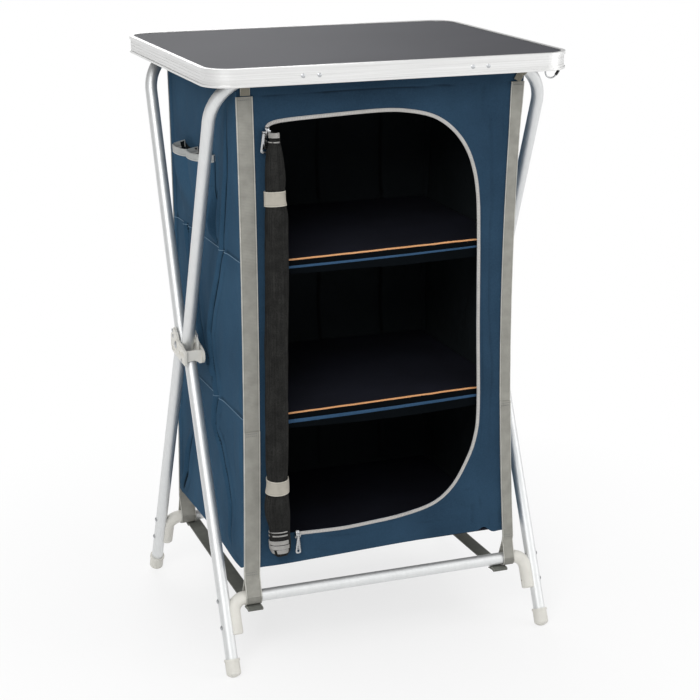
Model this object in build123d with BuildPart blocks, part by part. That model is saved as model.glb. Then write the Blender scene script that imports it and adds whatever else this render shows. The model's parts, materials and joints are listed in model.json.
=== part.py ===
"""Folding camping wardrobe: a rigid top on two crossed tube frames, with a cloth cabinet hung between them.

Millimetres. X runs left to right, Y front to back, Z up. The origin is on the floor under the middle of the top.
"""

import os
from math import asin, atan, cos, hypot, sin

from build123d import *

# Whole object
table_width = 600.0
table_depth = 500.0
table_height = 980.0
running_gap = 0.3
seat_gap = 0.1

# Table top
table_corner_radius = 45.0
rim_height = 28.0
rim_wall = 1.6
rim_recess = 2.0
rim_bead_top = 5.0
rim_bead_bottom = 3.5
rim_bead_round = 1.0
rim_reach = 7.0
rim_flange = 1.2
groove_count = 3
groove_width = 1.4
groove_depth = 0.5
panel_thickness = 5.0

# Tubes
tube_diameter = 20.0
tube_wall = 1.2
leg_plane = 276.0
crossbar_drop = 18.0
crossbar_reach = 194.0
frame_bend_radius = 76.0
crossing_height = 502.0
crossing_reach = 17.8
foot_reach = 243.0
upper_overrun = 10.0
lower_setback = 18.0

# Lower rails and their elbows
rail_height = 113.7
rail_half_length = 234.0
elbow_diameter = 22.0
elbow_radius = 21.0
elbow_offset = 14.0
elbow_tail = 36.0
elbow_chamfer = 2.0
spigot_length = 16.0

# Screws and rivets
screw_diameter = 4.0
screw_head = 8.0
screw_rise = 2.2
screw_length = 20.0
lower_screw_drop = 43.0
rivet_diameter = 4.0
rivet_head = 7.0
rivet_rise = 1.2
rivet_hole_gap = 0.15

# Feet
foot_diameter = 24.0
foot_length = 30.0
foot_dome = 6.0
foot_flat_depth = 1.0
foot_collar = 26.0
foot_collar_height = 4.0
foot_wall_end = 6.0

# Crossing connectors
pivot_drop = 6.0
pivot_diameter = 7.0
pivot_head = 13.0
pivot_head_height = 2.0
pivot_gap = 0.15
plate_thickness = 4.0
plate_stand_off = 1.0
plate_low_drop = 30.0
plate_high_drop = 3.0
plate_long_end = 50.0
plate_short_end = 33.0
plate_ear_reach = 15.0
plate_ear_rise = 20.0
plate_corner = 6.0
plate_boss = 16.0
plate_boss_height = 1.0
pad_diameter = 10.0
pad_depth = 5.0
cuff_flange = 3.5
cuff_flange_gap = 1.5
cuff_front_radius = 12.0
cuff_back_radius = 9.0
web_reach = 45.0
web_thickness = 2.5
web_groove = 1.6
web_groove_depth = 1.4
web_arch_radius = 14.0
web_arch_rise = 7.0
core_width = 6.0
core_height = 7.0
core_depth = 2.0
core_pitch = 10.0
core_middle_reach = 29.0
core_middle_drop = 14.0
ear_core_reach = 25.0
ear_core_drop = 17.0
upper_rivet_first = 4.0
upper_rivet_pitch = 9.5
lower_rivet_step = 28.0

# Clips under the top
clip_spacing = 277.0
clip_width = 36.0
clip_plate = 3.0
clip_plate_height = 14.0
clip_arm_width = 22.0
clip_arm_thickness = 2.6
clip_saddle_wall = 2.8
clip_saddle_drop = 5.0
clip_rivet_spacing = 26.0
clip_rivet_diameter = 3.2
clip_rivet_head = 7.0
clip_rivet_rise = 1.3
clip_rivet_drop = 15.0

# Wire hook
hook_side_inset = 42.0
hook_front_inset = 19.0
hook_wire = 2.6
hook_radius = 10.0
hook_drop = 31.5
hook_sweep = 145.0
hook_end = 6.0
hook_tip_diameter = 4.6
hook_tip_length = 9.0
hook_base_diameter = 16.0
hook_base_height = 5.0
hook_gap = 0.2

# Cloth cabinet
cabinet_width = 480.0
cabinet_depth = 384.0
cabinet_floor = 168.0
cabinet_drop = 42.0
cloth = 1.2
left_bow = 4.0
right_bow = 12.0
back_bow = 5.0
fold_depth = 5.0
fold_end_depth = 1.0
fold_width = 16.0
side_folds = (-150.0, -116.0, 172.0)
back_folds = (-120.0, 30.0, 150.0)
board_thickness = 6.0
lower_shelf_height = 420.0
upper_shelf_height = 672.0
shelf_inset = 6.0
lip_drop = 22.0
lip_sag = 5.0
piping_diameter = 3.0
hem_notch_place = 178.0
hem_notch_width = 40.0
hem_notch_height = 10.0

# Door opening and its zip
door_left = -192.0
door_right = 168.0
door_bottom = 213.0
door_top_drop = 43.0
door_hinge_bend = 24.0
door_top_bend = 96.0
door_bottom_bend = 118.0
zip_start_drop = 56.0
zip_end_reach = -150.0
zip_width = 6.5
zip_thickness = 1.0
slider_width = 9.0
slider_height = 13.0
slider_thickness = 4.0
slider_lug = 2.6
slider_lug_reach = 3.2
slider_taper = 82.0
pull_pin_diameter = 1.6
pull_length = 32.0
pull_width = 9.0
pull_eye_width = 4.4
pull_eye = 4.0
pull_eye_hole = 4.2
pull_thickness = 1.5

# Rolled mesh door
roll_low = 187.0
roll_high_drop = 70.0
roll_middle = -175.0
roll_half_width = 19.0
roll_half_depth = 14.0
roll_neck_middle = -170.5
roll_neck_half_width = 15.5
roll_neck_drop = 102.0
roll_pinch = 1.5
tie_seam_width = 12.0
tie_height = 28.0
lower_tie = 301.0
upper_tie_drop = 168.0
tie_thickness = 1.2

# Pockets on the left side
pocket_foot = 677.0
pocket_cloth = 1.0
rear_pocket_start = -10.0
rear_pocket_end = 155.0
rear_pocket_bulge = 11.0
rear_pocket_mouth = 806.0
front_pocket_start = -97.0
front_pocket_end = 95.0
front_pocket_bulge = 21.5
front_pocket_end_bulge = 9.5
pocket_edge_bulge = 0.5
front_pocket_mouth = 812.0
pocket_foot_share = 0.25
binding_height = 10.0
binding_thickness = 1.2

# Webbing
strap_width = 29.0
strap_thickness = 1.4
strap_outset = 1.0
strap_top_drop = 8.0
strap_join = 147.0
strap_double_top = 397.0
tab_width = 15.0
tab_thickness = 1.6
tab_reach = 222.0
tab_low_drop = 5.5
tab_join_rise = 3.5
base_strap_width = 28.0
base_strap_thickness = 1.5
left_base_strap = -196.0
right_base_strap = 196.0

# Worked-out sizes
crossbar_height = table_height - crossbar_drop
cabinet_roof = table_height - cabinet_drop
clip_rivet_height = table_height - clip_rivet_drop
hook_reach = table_width / 2 - hook_side_inset
hook_depth = table_depth / 2 - hook_front_inset
hook_centre_height = table_height - hook_drop
pivot_height = crossing_height - pivot_drop
plate_low = crossing_height - plate_low_drop
plate_high = crossing_height - plate_high_drop
plate_ear_height = crossing_height + plate_ear_rise
core_middle_height = crossing_height - core_middle_drop
ear_core_height = crossing_height - ear_core_drop
door_top = cabinet_roof - door_top_drop
zip_start_height = cabinet_roof - zip_start_drop
roll_high = cabinet_roof - roll_high_drop
roll_neck_height = cabinet_roof - roll_neck_drop
upper_tie = cabinet_roof - upper_tie_drop
strap_top = cabinet_roof - strap_top_drop
tab_low = cabinet_roof - tab_low_drop
tab_join = cabinet_roof + tab_join_rise
tube_radius = tube_diameter / 2
bore_radius = tube_radius - tube_wall
upper_slope = atan((crossbar_reach - crossing_reach) / (crossbar_height - crossing_height))
lower_slope = atan((foot_reach - crossing_reach) / crossing_height)
upper_length = hypot(crossbar_reach - crossing_reach, crossbar_height - crossing_height)
rail_drop = (crossing_height - rail_height) / cos(lower_slope)
rail_reach = crossing_reach + rail_drop * sin(lower_slope)
foot_radius = foot_diameter / 2
dome_radius = (foot_radius**2 + foot_dome**2) / (2 * foot_dome)
foot_end = (crossing_height - dome_radius + foot_flat_depth) / cos(lower_slope) + dome_radius
rim_floor = table_height - rim_height
inner_face = rim_recess + rim_wall
ledge_top = table_height - rim_flange - panel_thickness - 2 * seat_gap
panel_under = ledge_top + seat_gap
outer_plate = leg_plane + tube_radius + plate_stand_off
inner_plate = leg_plane - tube_radius - plate_stand_off
cuff_inside = inner_plate - plate_thickness - cuff_flange_gap
side_face = cabinet_width / 2
front_face = cabinet_depth / 2
cabinet_middle = (cabinet_floor + cabinet_roof) / 2
roll_back = front_face + zip_thickness + seat_gap + running_gap
roll_depth = roll_back + roll_half_depth
strap_front = front_face + running_gap
elbow_clear = elbow_diameter / 2 + running_gap
rail_clear = tube_radius + running_gap

os.makedirs("parts", exist_ok=True)


def write(part, name):
    """Label one finished piece and write its file."""
    part.label = name
    export_step(part, f"parts/{name}.step")


def upper_point(side, back, distance):
    """Point on an upper leg's middle line, a distance above the crossing."""
    return Vector(
        side * leg_plane,
        back * (crossing_reach + distance * sin(upper_slope)),
        crossing_height + distance * cos(upper_slope),
    )


def lower_point(side, back, distance):
    """Point on a lower leg's middle line, a distance below the crossing."""
    return Vector(
        side * leg_plane,
        back * (crossing_reach + distance * sin(lower_slope)),
        crossing_height - distance * cos(lower_slope),
    )


def lower_axis(side, back, distance):
    """Plane square to a lower leg, facing down along it."""
    direction = (0, back * sin(lower_slope), -cos(lower_slope))
    return Plane(origin=lower_point(side, back, distance), x_dir=(1, 0, 0), z_dir=direction)


def upper_axis(side, back, distance):
    """Plane square to an upper leg, facing up along it."""
    direction = (0, back * sin(upper_slope), cos(upper_slope))
    return Plane(origin=upper_point(side, back, distance), x_dir=(1, 0, 0), z_dir=direction)


def sideways(point, side):
    """Plane at a point that faces away from the middle of the object."""
    return Plane(origin=point, x_dir=(0, 1, 0), z_dir=(side, 0, 0))


def mirrored(part, about):
    """The same piece for the opposite side."""
    with BuildPart() as other:
        add(part)
        mirror(about=about, mode=Mode.REPLACE)
    return other.part


def dome_middle(radius, rise):
    """Point halfway along the arc of a dome, from its middle line and its base."""
    sphere = (radius**2 + rise**2) / (2 * rise)
    half_angle = asin(radius / sphere) / 2
    return sphere * sin(half_angle), rise - sphere * (1 - cos(half_angle))


def domed(head, rise, shank, length):
    """Domed fastener that stands on the XY plane with its shank below."""
    with BuildPart() as fastener:
        with BuildSketch(Plane.XZ):
            with BuildLine():
                Polyline((0, rise), (0, -length), (shank / 2, -length), (shank / 2, 0), (head / 2, 0))
                ThreePointArc((head / 2, 0), dome_middle(head / 2, rise), (0, rise))
            make_face()
        revolve(axis=Axis.Z)
    return fastener.part


def group_at(part, planes):
    """Copies of one fastener as a group of separate solids."""
    with BuildPart() as group:
        with Locations(*planes):
            add(part)
    return group.part


# Edge profile of the top, swept round one half of the outline and mirrored
with BuildPart() as edge_frame:
    with BuildLine():
        FilletPolyline(
            (0, -table_depth / 2, rim_floor),
            (table_width / 2, -table_depth / 2, rim_floor),
            (table_width / 2, table_depth / 2, rim_floor),
            (0, table_depth / 2, rim_floor),
            radius=table_corner_radius,
        )
    with BuildSketch(Plane(origin=(0, -table_depth / 2, rim_floor), x_dir=(0, 1, 0), z_dir=(1, 0, 0))) as profile:
        Rectangle(inner_face, rim_bead_bottom, align=Align.MIN)
        Rectangle(rim_reach, rim_flange, align=Align.MIN)
        with Locations((0, rim_height - rim_bead_top)):
            Rectangle(inner_face, rim_bead_top, align=Align.MIN)
        with Locations((0, rim_height - rim_flange)):
            Rectangle(rim_reach, rim_flange, align=Align.MIN)
        with Locations((rim_recess, 0)):
            Rectangle(rim_wall, rim_height, align=Align.MIN)
        with Locations((rim_recess, ledge_top - rim_floor - rim_flange)):
            Rectangle(rim_reach, rim_flange, align=Align.MIN)
        fillet(profile.vertices().group_by(Axis.Y)[0], rim_bead_round)
        groove_pitch = (rim_height - rim_bead_top - rim_bead_bottom) / (groove_count + 1)
        for n in range(groove_count):
            with Locations((rim_recess, rim_bead_bottom + groove_pitch * (n + 1))):
                Rectangle(2 * groove_depth, groove_width, mode=Mode.SUBTRACT)
    sweep()
    mirror(about=Plane.YZ)
    for back in (-1, 1):
        wall = Plane(origin=(0, back * table_depth / 2, clip_rivet_height), x_dir=(1, 0, 0), z_dir=(0, back, 0))
        with Locations(wall):
            with GridLocations(clip_spacing, 1, 2, 1):
                with GridLocations(clip_rivet_spacing, 1, 2, 1):
                    Cylinder(clip_rivet_diameter / 2 + seat_gap, 3 * inner_face, mode=Mode.SUBTRACT)
write(edge_frame.part, "edge_frame")

# Board of the top, held in the channel of the profile
with BuildPart() as top_panel:
    panel_margin = inner_face + seat_gap
    with BuildSketch(Plane.XY.offset(panel_under)):
        RectangleRounded(
            table_width - 2 * panel_margin, table_depth - 2 * panel_margin, table_corner_radius - panel_margin
        )
    extrude(amount=panel_thickness)
write(top_panel.part, "top_panel")


# Moulded clips: a plate riveted to the rim, an arm and a saddle on the crossbar
with BuildPart() as frame_clips_front:
    clip_wall = inner_face + seat_gap - table_depth / 2
    saddle_inner = tube_radius + running_gap
    with Locations((0, -crossbar_reach, crossbar_height)):
        with GridLocations(clip_spacing, 1, 2, 1):
            Cylinder(
                saddle_inner + clip_saddle_wall,
                clip_arm_width,
                rotation=(0, 90, 0),
            )
    with GridLocations(clip_spacing, 1, 2, 1):
        with Locations((0, clip_wall, clip_rivet_height)):
            Box(clip_width, clip_plate, clip_plate_height, align=(Align.CENTER, Align.MIN, Align.CENTER))
        with Locations((0, clip_wall, ledge_top - rim_flange - seat_gap)):
            Box(
                clip_arm_width,
                -clip_wall - crossbar_reach,
                clip_arm_thickness,
                align=(Align.CENTER, Align.MIN, Align.MAX),
            )
    upright_edges = frame_clips_front.edges().filter_by(Axis.Y)
    fillet(upright_edges.filter_by(lambda e: e.length < 1.1 * clip_plate).group_by(Axis.Z)[0], clip_plate)
    saddle_top = Plane.XY.offset(panel_under - seat_gap)
    split(bisect_by=saddle_top, keep=Keep.BOTTOM)
    with Locations((0, -crossbar_reach, crossbar_height)):
        Cylinder(saddle_inner, 2 * clip_spacing, rotation=(0, 90, 0), mode=Mode.SUBTRACT)
    with Locations((0, -crossbar_reach, crossbar_height - clip_saddle_drop)):
        Box(
            2 * clip_spacing,
            4 * saddle_inner,
            2 * saddle_inner,
            align=(Align.CENTER, Align.CENTER, Align.MAX),
            mode=Mode.SUBTRACT,
        )
    clip_face = Plane(origin=(0, clip_wall, clip_rivet_height), x_dir=(1, 0, 0), z_dir=(0, -1, 0))
    with Locations(clip_face):
        with GridLocations(clip_spacing, 1, 2, 1):
            with GridLocations(clip_rivet_spacing, 1, 2, 1):
                Cylinder(clip_rivet_diameter / 2 + seat_gap, 3 * clip_plate, mode=Mode.SUBTRACT)
write(frame_clips_front.part, "frame_clips_front")
write(mirrored(frame_clips_front.part, Plane.XZ), "frame_clips_rear")

# Rivets of the clips, two pairs on each long side of the rim
rim_rivet = domed(clip_rivet_head, clip_rivet_rise, clip_rivet_diameter, rim_wall + seat_gap + clip_plate)
rim_rivet_planes = [
    Plane(
        origin=(
            side * clip_spacing / 2 + step * clip_rivet_spacing / 2,
            back * (table_depth / 2 - rim_recess),
            clip_rivet_height,
        ),
        x_dir=(1, 0, 0),
        z_dir=(0, back, 0),
    )
    for back in (-1, 1)
    for side in (-1, 1)
    for step in (-1, 1)
]
write(group_at(rim_rivet, rim_rivet_planes), "rim_rivets")

# Wire hook, its cup under the board and the sleeve on its end
hook_plane = Plane(origin=(hook_reach, -hook_depth, 0), x_dir=(1, 0, 0), z_dir=(0, -1, 0))

with BuildPart() as hook_base:
    with BuildSketch(Plane.XY.offset(panel_under - seat_gap)):
        with Locations((hook_reach, -hook_depth)):
            Circle(hook_base_diameter / 2)
            Circle(hook_wire / 2 + hook_gap, mode=Mode.SUBTRACT)
    extrude(amount=-hook_base_height)
    chamfer(hook_base.edges().group_by(Axis.Z)[0].sort_by(Edge.length)[-1], hook_base_height / 4)
write(hook_base.part, "hook_base")

with BuildPart() as wire_hook:
    with BuildLine(hook_plane):
        shank = Line((0, panel_under - seat_gap), (0, hook_centre_height))
        curl = JernArc(shank @ 1, shank % 1, hook_radius, hook_sweep)
        tail = Line(curl @ 1, curl @ 1 + (curl % 1) * hook_end)
    with BuildSketch(Plane(origin=shank @ 0, z_dir=shank % 0)):
        Circle(hook_wire / 2)
    sweep()
write(wire_hook.part, "wire_hook")

with BuildPart() as hook_tip:
    with BuildSketch(Plane(origin=curl @ 1, z_dir=curl % 1)):
        Circle(hook_tip_diameter / 2)
    extrude(amount=hook_tip_length)
    fillet(hook_tip.edges().sort_by_distance(curl @ 1)[-1], hook_tip_diameter / 4)
    with Locations(Plane(origin=curl @ 1, z_dir=curl % 1)):
        Cylinder(
            hook_wire / 2 + seat_gap / 2,
            hook_end + seat_gap,
            align=(Align.CENTER, Align.CENTER, Align.MIN),
            mode=Mode.SUBTRACT,
        )
write(hook_tip.part, "hook_tip")


def upper_frame(back, inward):
    """Upside-down U of bent tube that leans from the crossing up to its crossbar."""
    lean = Plane(
        origin=(0, back * crossing_reach, crossing_height),
        x_dir=(1, 0, 0),
        z_dir=(0, -cos(upper_slope), back * sin(upper_slope)),
    )
    with BuildPart() as frame:
        with BuildLine(lean):
            bend = FilletPolyline(
                (-leg_plane, -upper_overrun),
                (-leg_plane, upper_length),
                (leg_plane, upper_length),
                (leg_plane, -upper_overrun),
                radius=frame_bend_radius,
            )
        with BuildSketch(Plane(origin=bend @ 0, z_dir=bend % 0)):
            Circle(tube_radius)
            Circle(bore_radius, mode=Mode.SUBTRACT)
        sweep()
        holes = []
        for side in (-1, 1):
            for n in range(2):
                place = upper_point(side, back, upper_rivet_first + n * upper_rivet_pitch)
                holes.append(sideways(place + Vector(inward * side * tube_radius, 0, 0), side))
        with Locations(*holes):
            Cylinder(rivet_diameter / 2 + rivet_hole_gap, tube_radius, mode=Mode.SUBTRACT)
    return frame.part


write(upper_frame(-1, -1), "upper_front_frame")
write(upper_frame(1, 1), "upper_rear_frame")


def lower_leg(back):
    """Right lower leg tube with the holes of its rivet and its two screws."""
    end = foot_end - foot_wall_end - running_gap
    with BuildPart() as leg:
        with BuildSketch(lower_axis(1, back, lower_setback)):
            Circle(tube_radius)
            Circle(bore_radius, mode=Mode.SUBTRACT)
        extrude(amount=end - lower_setback)
        distances = (lower_rivet_step, rail_drop, rail_drop + lower_screw_drop)
        with Locations(*[sideways(lower_point(1, back, d), 1) for d in distances]):
            Cylinder(rivet_diameter / 2 + rivet_hole_gap, 2 * tube_diameter, mode=Mode.SUBTRACT)
    return leg.part


def elbow(back):
    """Right elbow: a plug in the rail's end that turns down along the leg and cups it."""
    reach = leg_plane - elbow_offset
    start = Vector(rail_half_length + seat_gap, back * rail_reach, rail_height)
    corner = Vector(reach, back * rail_reach, rail_height)
    down = lower_axis(1, back, 0).z_dir
    with BuildPart() as piece:
        with BuildSketch(Plane(origin=start, z_dir=(1, 0, 0))):
            Circle(elbow_diameter / 2)
        extrude(amount=reach - elbow_radius - start.X)
        with BuildSketch(Plane(origin=corner - Vector(elbow_radius, 0, 0), z_dir=(1, 0, 0))):
            Circle(elbow_diameter / 2)
        turn = Axis(corner - Vector(elbow_radius, 0, 0) + down * elbow_radius, Vector(1, 0, 0).cross(down))
        revolve(axis=turn, revolution_arc=90)
        with BuildSketch(Plane(origin=corner + down * elbow_radius, x_dir=(1, 0, 0), z_dir=down)):
            Circle(elbow_diameter / 2)
        extrude(amount=elbow_tail)
        chamfer(piece.faces().sort_by(Axis.Z)[0].edges(), elbow_chamfer)
        with Locations(Plane(origin=start, z_dir=(-1, 0, 0))):
            Cylinder(
                bore_radius - seat_gap, spigot_length, align=(Align.CENTER, Align.CENTER, Align.MIN)
            )
        with BuildSketch(lower_axis(1, back, rail_drop - 2 * elbow_radius)):
            Circle(tube_radius + seat_gap)
        extrude(amount=4 * elbow_tail, mode=Mode.SUBTRACT)
        screws = [lower_point(1, back, d) for d in (rail_drop, rail_drop + lower_screw_drop)]
        with Locations(*[sideways(point, 1) for point in screws]):
            Cylinder(screw_diameter / 2 + rivet_hole_gap, 3 * tube_diameter, mode=Mode.SUBTRACT)
    return piece.part


def foot(back):
    """Right foot cap with a collar and a dome that is flat where it stands."""
    seat = tube_radius + seat_gap
    with BuildPart() as cap:
        with BuildSketch(Plane.XZ):
            with BuildLine():
                Polyline(
                    (0, foot_length - foot_wall_end),
                    (seat, foot_length - foot_wall_end),
                    (seat, 0),
                    (foot_collar / 2, 0),
                    (foot_collar / 2, foot_collar_height),
                    (foot_radius, foot_collar_height),
                    (foot_radius, foot_length - foot_dome),
                )
                dome_x, dome_y = dome_middle(foot_radius, foot_dome)
                ThreePointArc(
                    (foot_radius, foot_length - foot_dome),
                    (dome_x, foot_length - foot_dome + dome_y),
                    (0, foot_length),
                )
                Line((0, foot_length), (0, foot_length - foot_wall_end))
            make_face()
        revolve(axis=Axis.Z)
    with BuildPart() as placed:
        with Locations(lower_axis(1, back, foot_end - foot_length)):
            add(cap.part)
        split(bisect_by=Plane.XY, keep=Keep.TOP)
    return placed.part


# Lower legs, elbows, rails and feet
for back, end_name in ((-1, "front"), (1, "rear")):
    right_leg = lower_leg(back)
    write(right_leg, f"lower_{end_name}_leg_right")
    write(mirrored(right_leg, Plane.YZ), f"lower_{end_name}_leg_left")
    right_elbow = elbow(back)
    write(right_elbow, f"{end_name}_elbow_right")
    write(mirrored(right_elbow, Plane.YZ), f"{end_name}_elbow_left")
    right_foot = foot(back)
    write(right_foot, f"{end_name}_foot_right")
    write(mirrored(right_foot, Plane.YZ), f"{end_name}_foot_left")
    with BuildPart() as rail:
        with BuildSketch(Plane(origin=(0, back * rail_reach, rail_height), z_dir=(1, 0, 0))):
            Circle(tube_radius)
            Circle(bore_radius, mode=Mode.SUBTRACT)
        extrude(amount=rail_half_length, both=True)
    write(rail.part, f"{end_name}_rail")
    leg_screw = domed(screw_head, screw_rise, screw_diameter, screw_length)
    screw_planes = [
        sideways(lower_point(side, back, drop) + Vector(side * tube_radius, 0, 0), side)
        for side in (-1, 1)
        for drop in (rail_drop, rail_drop + lower_screw_drop)
    ]
    write(group_at(leg_screw, screw_planes), f"{end_name}_leg_screws")


# Jogged scissor connectors. Both are drawn for the right side and the link whose upper tube is at the back.
def plate_outline():
    """Jogged plate: a bar towards the lower leg and an ear up along the upper tube."""
    with BuildSketch() as outline:
        Polygon(
            (-plate_long_end, plate_low),
            (plate_short_end - 2 * plate_corner, plate_low + plate_corner),
            (plate_short_end, plate_low + 2.5 * plate_corner),
            (plate_short_end, plate_high + plate_corner),
            (plate_ear_reach, plate_ear_height),
            (plate_ear_reach - 2 * plate_corner, plate_ear_height - plate_corner),
            (-plate_corner, plate_high + plate_corner),
            (-plate_long_end, plate_high - plate_corner / 2),
            align=None,
        )
        fillet(outline.vertices(), plate_corner / 2)
    return outline.sketch


def rivet_places():
    """Middles of the two upper rivets and the lower one, seen from the side."""
    upper = [upper_point(1, 1, upper_rivet_first + n * upper_rivet_pitch) for n in range(2)]
    return [*upper, lower_point(1, -1, lower_rivet_step)]


def tube_seats():
    """Planes along the two tubes that one connector holds."""
    return [upper_axis(1, 1, 0), lower_axis(1, -1, 0)]


def outer_connector():
    """Ribbed plate outside, a web across the front and a flange inside, as a cuff round the lower leg."""
    cuff_width = outer_plate - cuff_inside
    outer_face = outer_plate + plate_thickness
    *_, lower_place = rivet_places()
    with BuildPart() as housing:
        with BuildSketch(Plane.YZ.offset(outer_plate)):
            add(plate_outline())
        extrude(amount=plate_thickness)
        with BuildSketch(Plane.YZ.offset(cuff_inside)):
            with Locations((cuff_front_radius - plate_long_end, plate_low + cuff_front_radius)):
                Circle(cuff_front_radius)
            with Locations((0, pivot_height)):
                Circle(cuff_back_radius)
            make_hull()
        extrude(amount=-cuff_flange)
        with Locations((cuff_inside, -web_reach, plate_low + web_groove)):
            Box(cuff_width, web_thickness, plate_high - plate_low - 3 * web_groove, align=Align.MIN)
        with Locations((cuff_inside, -web_reach, plate_low), (outer_plate - web_groove, -web_reach, plate_low)):
            Box(web_groove, web_groove_depth, plate_high, align=Align.MIN, mode=Mode.SUBTRACT)
        arch = Plane(
            origin=(leg_plane, -web_reach, plate_low + web_arch_rise - web_arch_radius), z_dir=(0, -1, 0)
        )
        with Locations(arch):
            Cylinder(web_arch_radius, 4 * web_thickness, mode=Mode.SUBTRACT)
        with Locations(sideways((outer_face, 0, pivot_height), 1)):
            Cylinder(plate_boss / 2, plate_boss_height, align=(Align.CENTER, Align.CENTER, Align.MIN))
        with Locations(*[sideways((outer_plate, p.Y, p.Z), -1) for p in rivet_places()]):
            Cylinder(pad_diameter / 2, pad_depth, align=(Align.CENTER, Align.CENTER, Align.MIN))
        with Locations(sideways((cuff_inside, lower_place.Y, lower_place.Z), 1)):
            Cylinder(
                pad_diameter / 2 - running_gap,
                leg_plane - tube_radius - cuff_inside + pad_depth / 2,
                align=(Align.CENTER, Align.CENTER, Align.MIN),
            )
        with Locations(*tube_seats()):
            Cylinder(tube_radius + seat_gap, 2 * plate_low, mode=Mode.SUBTRACT)
        with Locations(*[sideways((leg_plane, p.Y, p.Z), 1) for p in rivet_places()]):
            Cylinder(rivet_diameter / 2 + rivet_hole_gap, 4 * tube_diameter, mode=Mode.SUBTRACT)
        with Locations(sideways((leg_plane, 0, pivot_height), 1)):
            Cylinder(pivot_diameter / 2 + pivot_gap, 4 * tube_diameter, mode=Mode.SUBTRACT)
        with Locations(sideways((outer_face, -core_middle_reach, core_middle_height), 1)):
            with GridLocations(core_pitch, 1, 3, 1):
                Box(core_width, core_height, 2 * core_depth, mode=Mode.SUBTRACT)
        with Locations(sideways((outer_face, ear_core_reach, ear_core_height), 1)):
            with GridLocations(core_pitch, 1, 2, 1, align=(Align.MAX, Align.CENTER)):
                Box(core_width, core_height, 2 * core_depth, mode=Mode.SUBTRACT)
    return housing.part


def inner_connector():
    """Jogged plate inside the tubes with a web that ends short of the outer plate."""
    inner_face_x = inner_plate - plate_thickness
    with BuildPart() as housing:
        with BuildSketch(Plane.YZ.offset(inner_face_x)):
            add(plate_outline())
        extrude(amount=plate_thickness)
        with Locations((inner_face_x, -web_reach, plate_low + web_groove)):
            Box(
                outer_plate - running_gap - inner_face_x,
                web_thickness,
                plate_high - plate_low - 3 * web_groove,
                align=Align.MIN,
            )
        arch = Plane(
            origin=(leg_plane, -web_reach, plate_low + web_arch_rise - web_arch_radius), z_dir=(0, -1, 0)
        )
        with Locations(arch):
            Cylinder(web_arch_radius, 4 * web_thickness, mode=Mode.SUBTRACT)
        with Locations(*[sideways((inner_plate, p.Y, p.Z), 1) for p in rivet_places()]):
            Cylinder(pad_diameter / 2, pad_depth, align=(Align.CENTER, Align.CENTER, Align.MIN))
        with Locations(*tube_seats()):
            Cylinder(tube_radius + seat_gap, 2 * plate_low, mode=Mode.SUBTRACT)
        with Locations(*[sideways((leg_plane, p.Y, p.Z), 1) for p in rivet_places()]):
            Cylinder(rivet_diameter / 2 + rivet_hole_gap, 4 * tube_diameter, mode=Mode.SUBTRACT)
        with Locations(sideways((leg_plane, 0, pivot_height), 1)):
            Cylinder(pivot_diameter / 2 + pivot_gap, 4 * tube_diameter, mode=Mode.SUBTRACT)
        with Locations(sideways((inner_face_x, -core_middle_reach, core_middle_height), 1)):
            with GridLocations(core_pitch, 1, 3, 1):
                Box(core_width, core_height, 2 * core_depth, mode=Mode.SUBTRACT)
    return mirrored(housing.part, Plane.XZ)


for place_name, connector in (("outer", outer_connector()), ("inner", inner_connector())):
    write(connector, f"{place_name}_connector_right")
    write(mirrored(connector, Plane.YZ), f"{place_name}_connector_left")


def connector_rivets(face_x, facing, back, through):
    """Two short rivets into each upper tube and one long one through each lower leg."""
    short = domed(
        rivet_head, rivet_rise, rivet_diameter, plate_thickness + plate_stand_off + 2 * tube_wall
    )
    long = domed(rivet_head, rivet_rise, rivet_diameter, through)
    *upper, lower = rivet_places()
    with BuildPart() as rivets:
        for side in (-1, 1):
            with Locations(*[sideways((side * face_x, back * p.Y, p.Z), side * facing) for p in upper]):
                add(short)
            with Locations(sideways((side * face_x, back * lower.Y, lower.Z), side * facing)):
                add(long)
    return rivets.part


outer_through = outer_plate + plate_thickness - cuff_inside + cuff_flange
inner_through = plate_thickness + plate_stand_off + tube_diameter
write(connector_rivets(outer_plate + plate_thickness, 1, 1, outer_through), "outer_connector_rivets")
write(connector_rivets(inner_plate - plate_thickness, -1, -1, inner_through), "inner_connector_rivets")

# Pivot pins, one through each pair of connectors, headed at both ends
with BuildPart() as pivot_pins:
    pin_start = cuff_inside - cuff_flange - seat_gap
    pin_end = outer_plate + plate_thickness + plate_boss_height + seat_gap
    outer_end = domed(pivot_head, pivot_head_height, pivot_diameter, pin_end - pin_start)
    inner_end = domed(pivot_head, pivot_head_height, pivot_diameter, pivot_head_height)
    for side in (-1, 1):
        with Locations(sideways((side * pin_end, 0, pivot_height), side)):
            add(outer_end)
        with Locations(sideways((side * pin_start, 0, pivot_height), -side)):
            add(inner_end)
write(pivot_pins.part, "pivot_pins")


# Cloth cabinet. Its walls draw in a little towards the middle of their height.
def drawn_in(bow, height):
    """How far a wall with this bow is drawn in at a height."""
    share = (height - cabinet_middle) / (cabinet_roof - cabinet_middle)
    return bow * (1 - share**2)


def wall_section(height, start, end, face, folds, depth):
    """Thin strip of wall seen from above, with folds that stand out from it."""
    outer = [(start, face)]
    for fold in folds:
        outer += [(fold - fold_width / 2, face), (fold, face + depth), (fold + fold_width / 2, face)]
    outer.append((end, face))
    inner = [(along, across - cloth) for along, across in reversed(outer)]
    with BuildSketch(Plane.XY.offset(height)) as section:
        with BuildLine():
            Polyline(*outer, *inner, close=True)
        make_face()
    return section.sketch.faces()[0]


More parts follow.
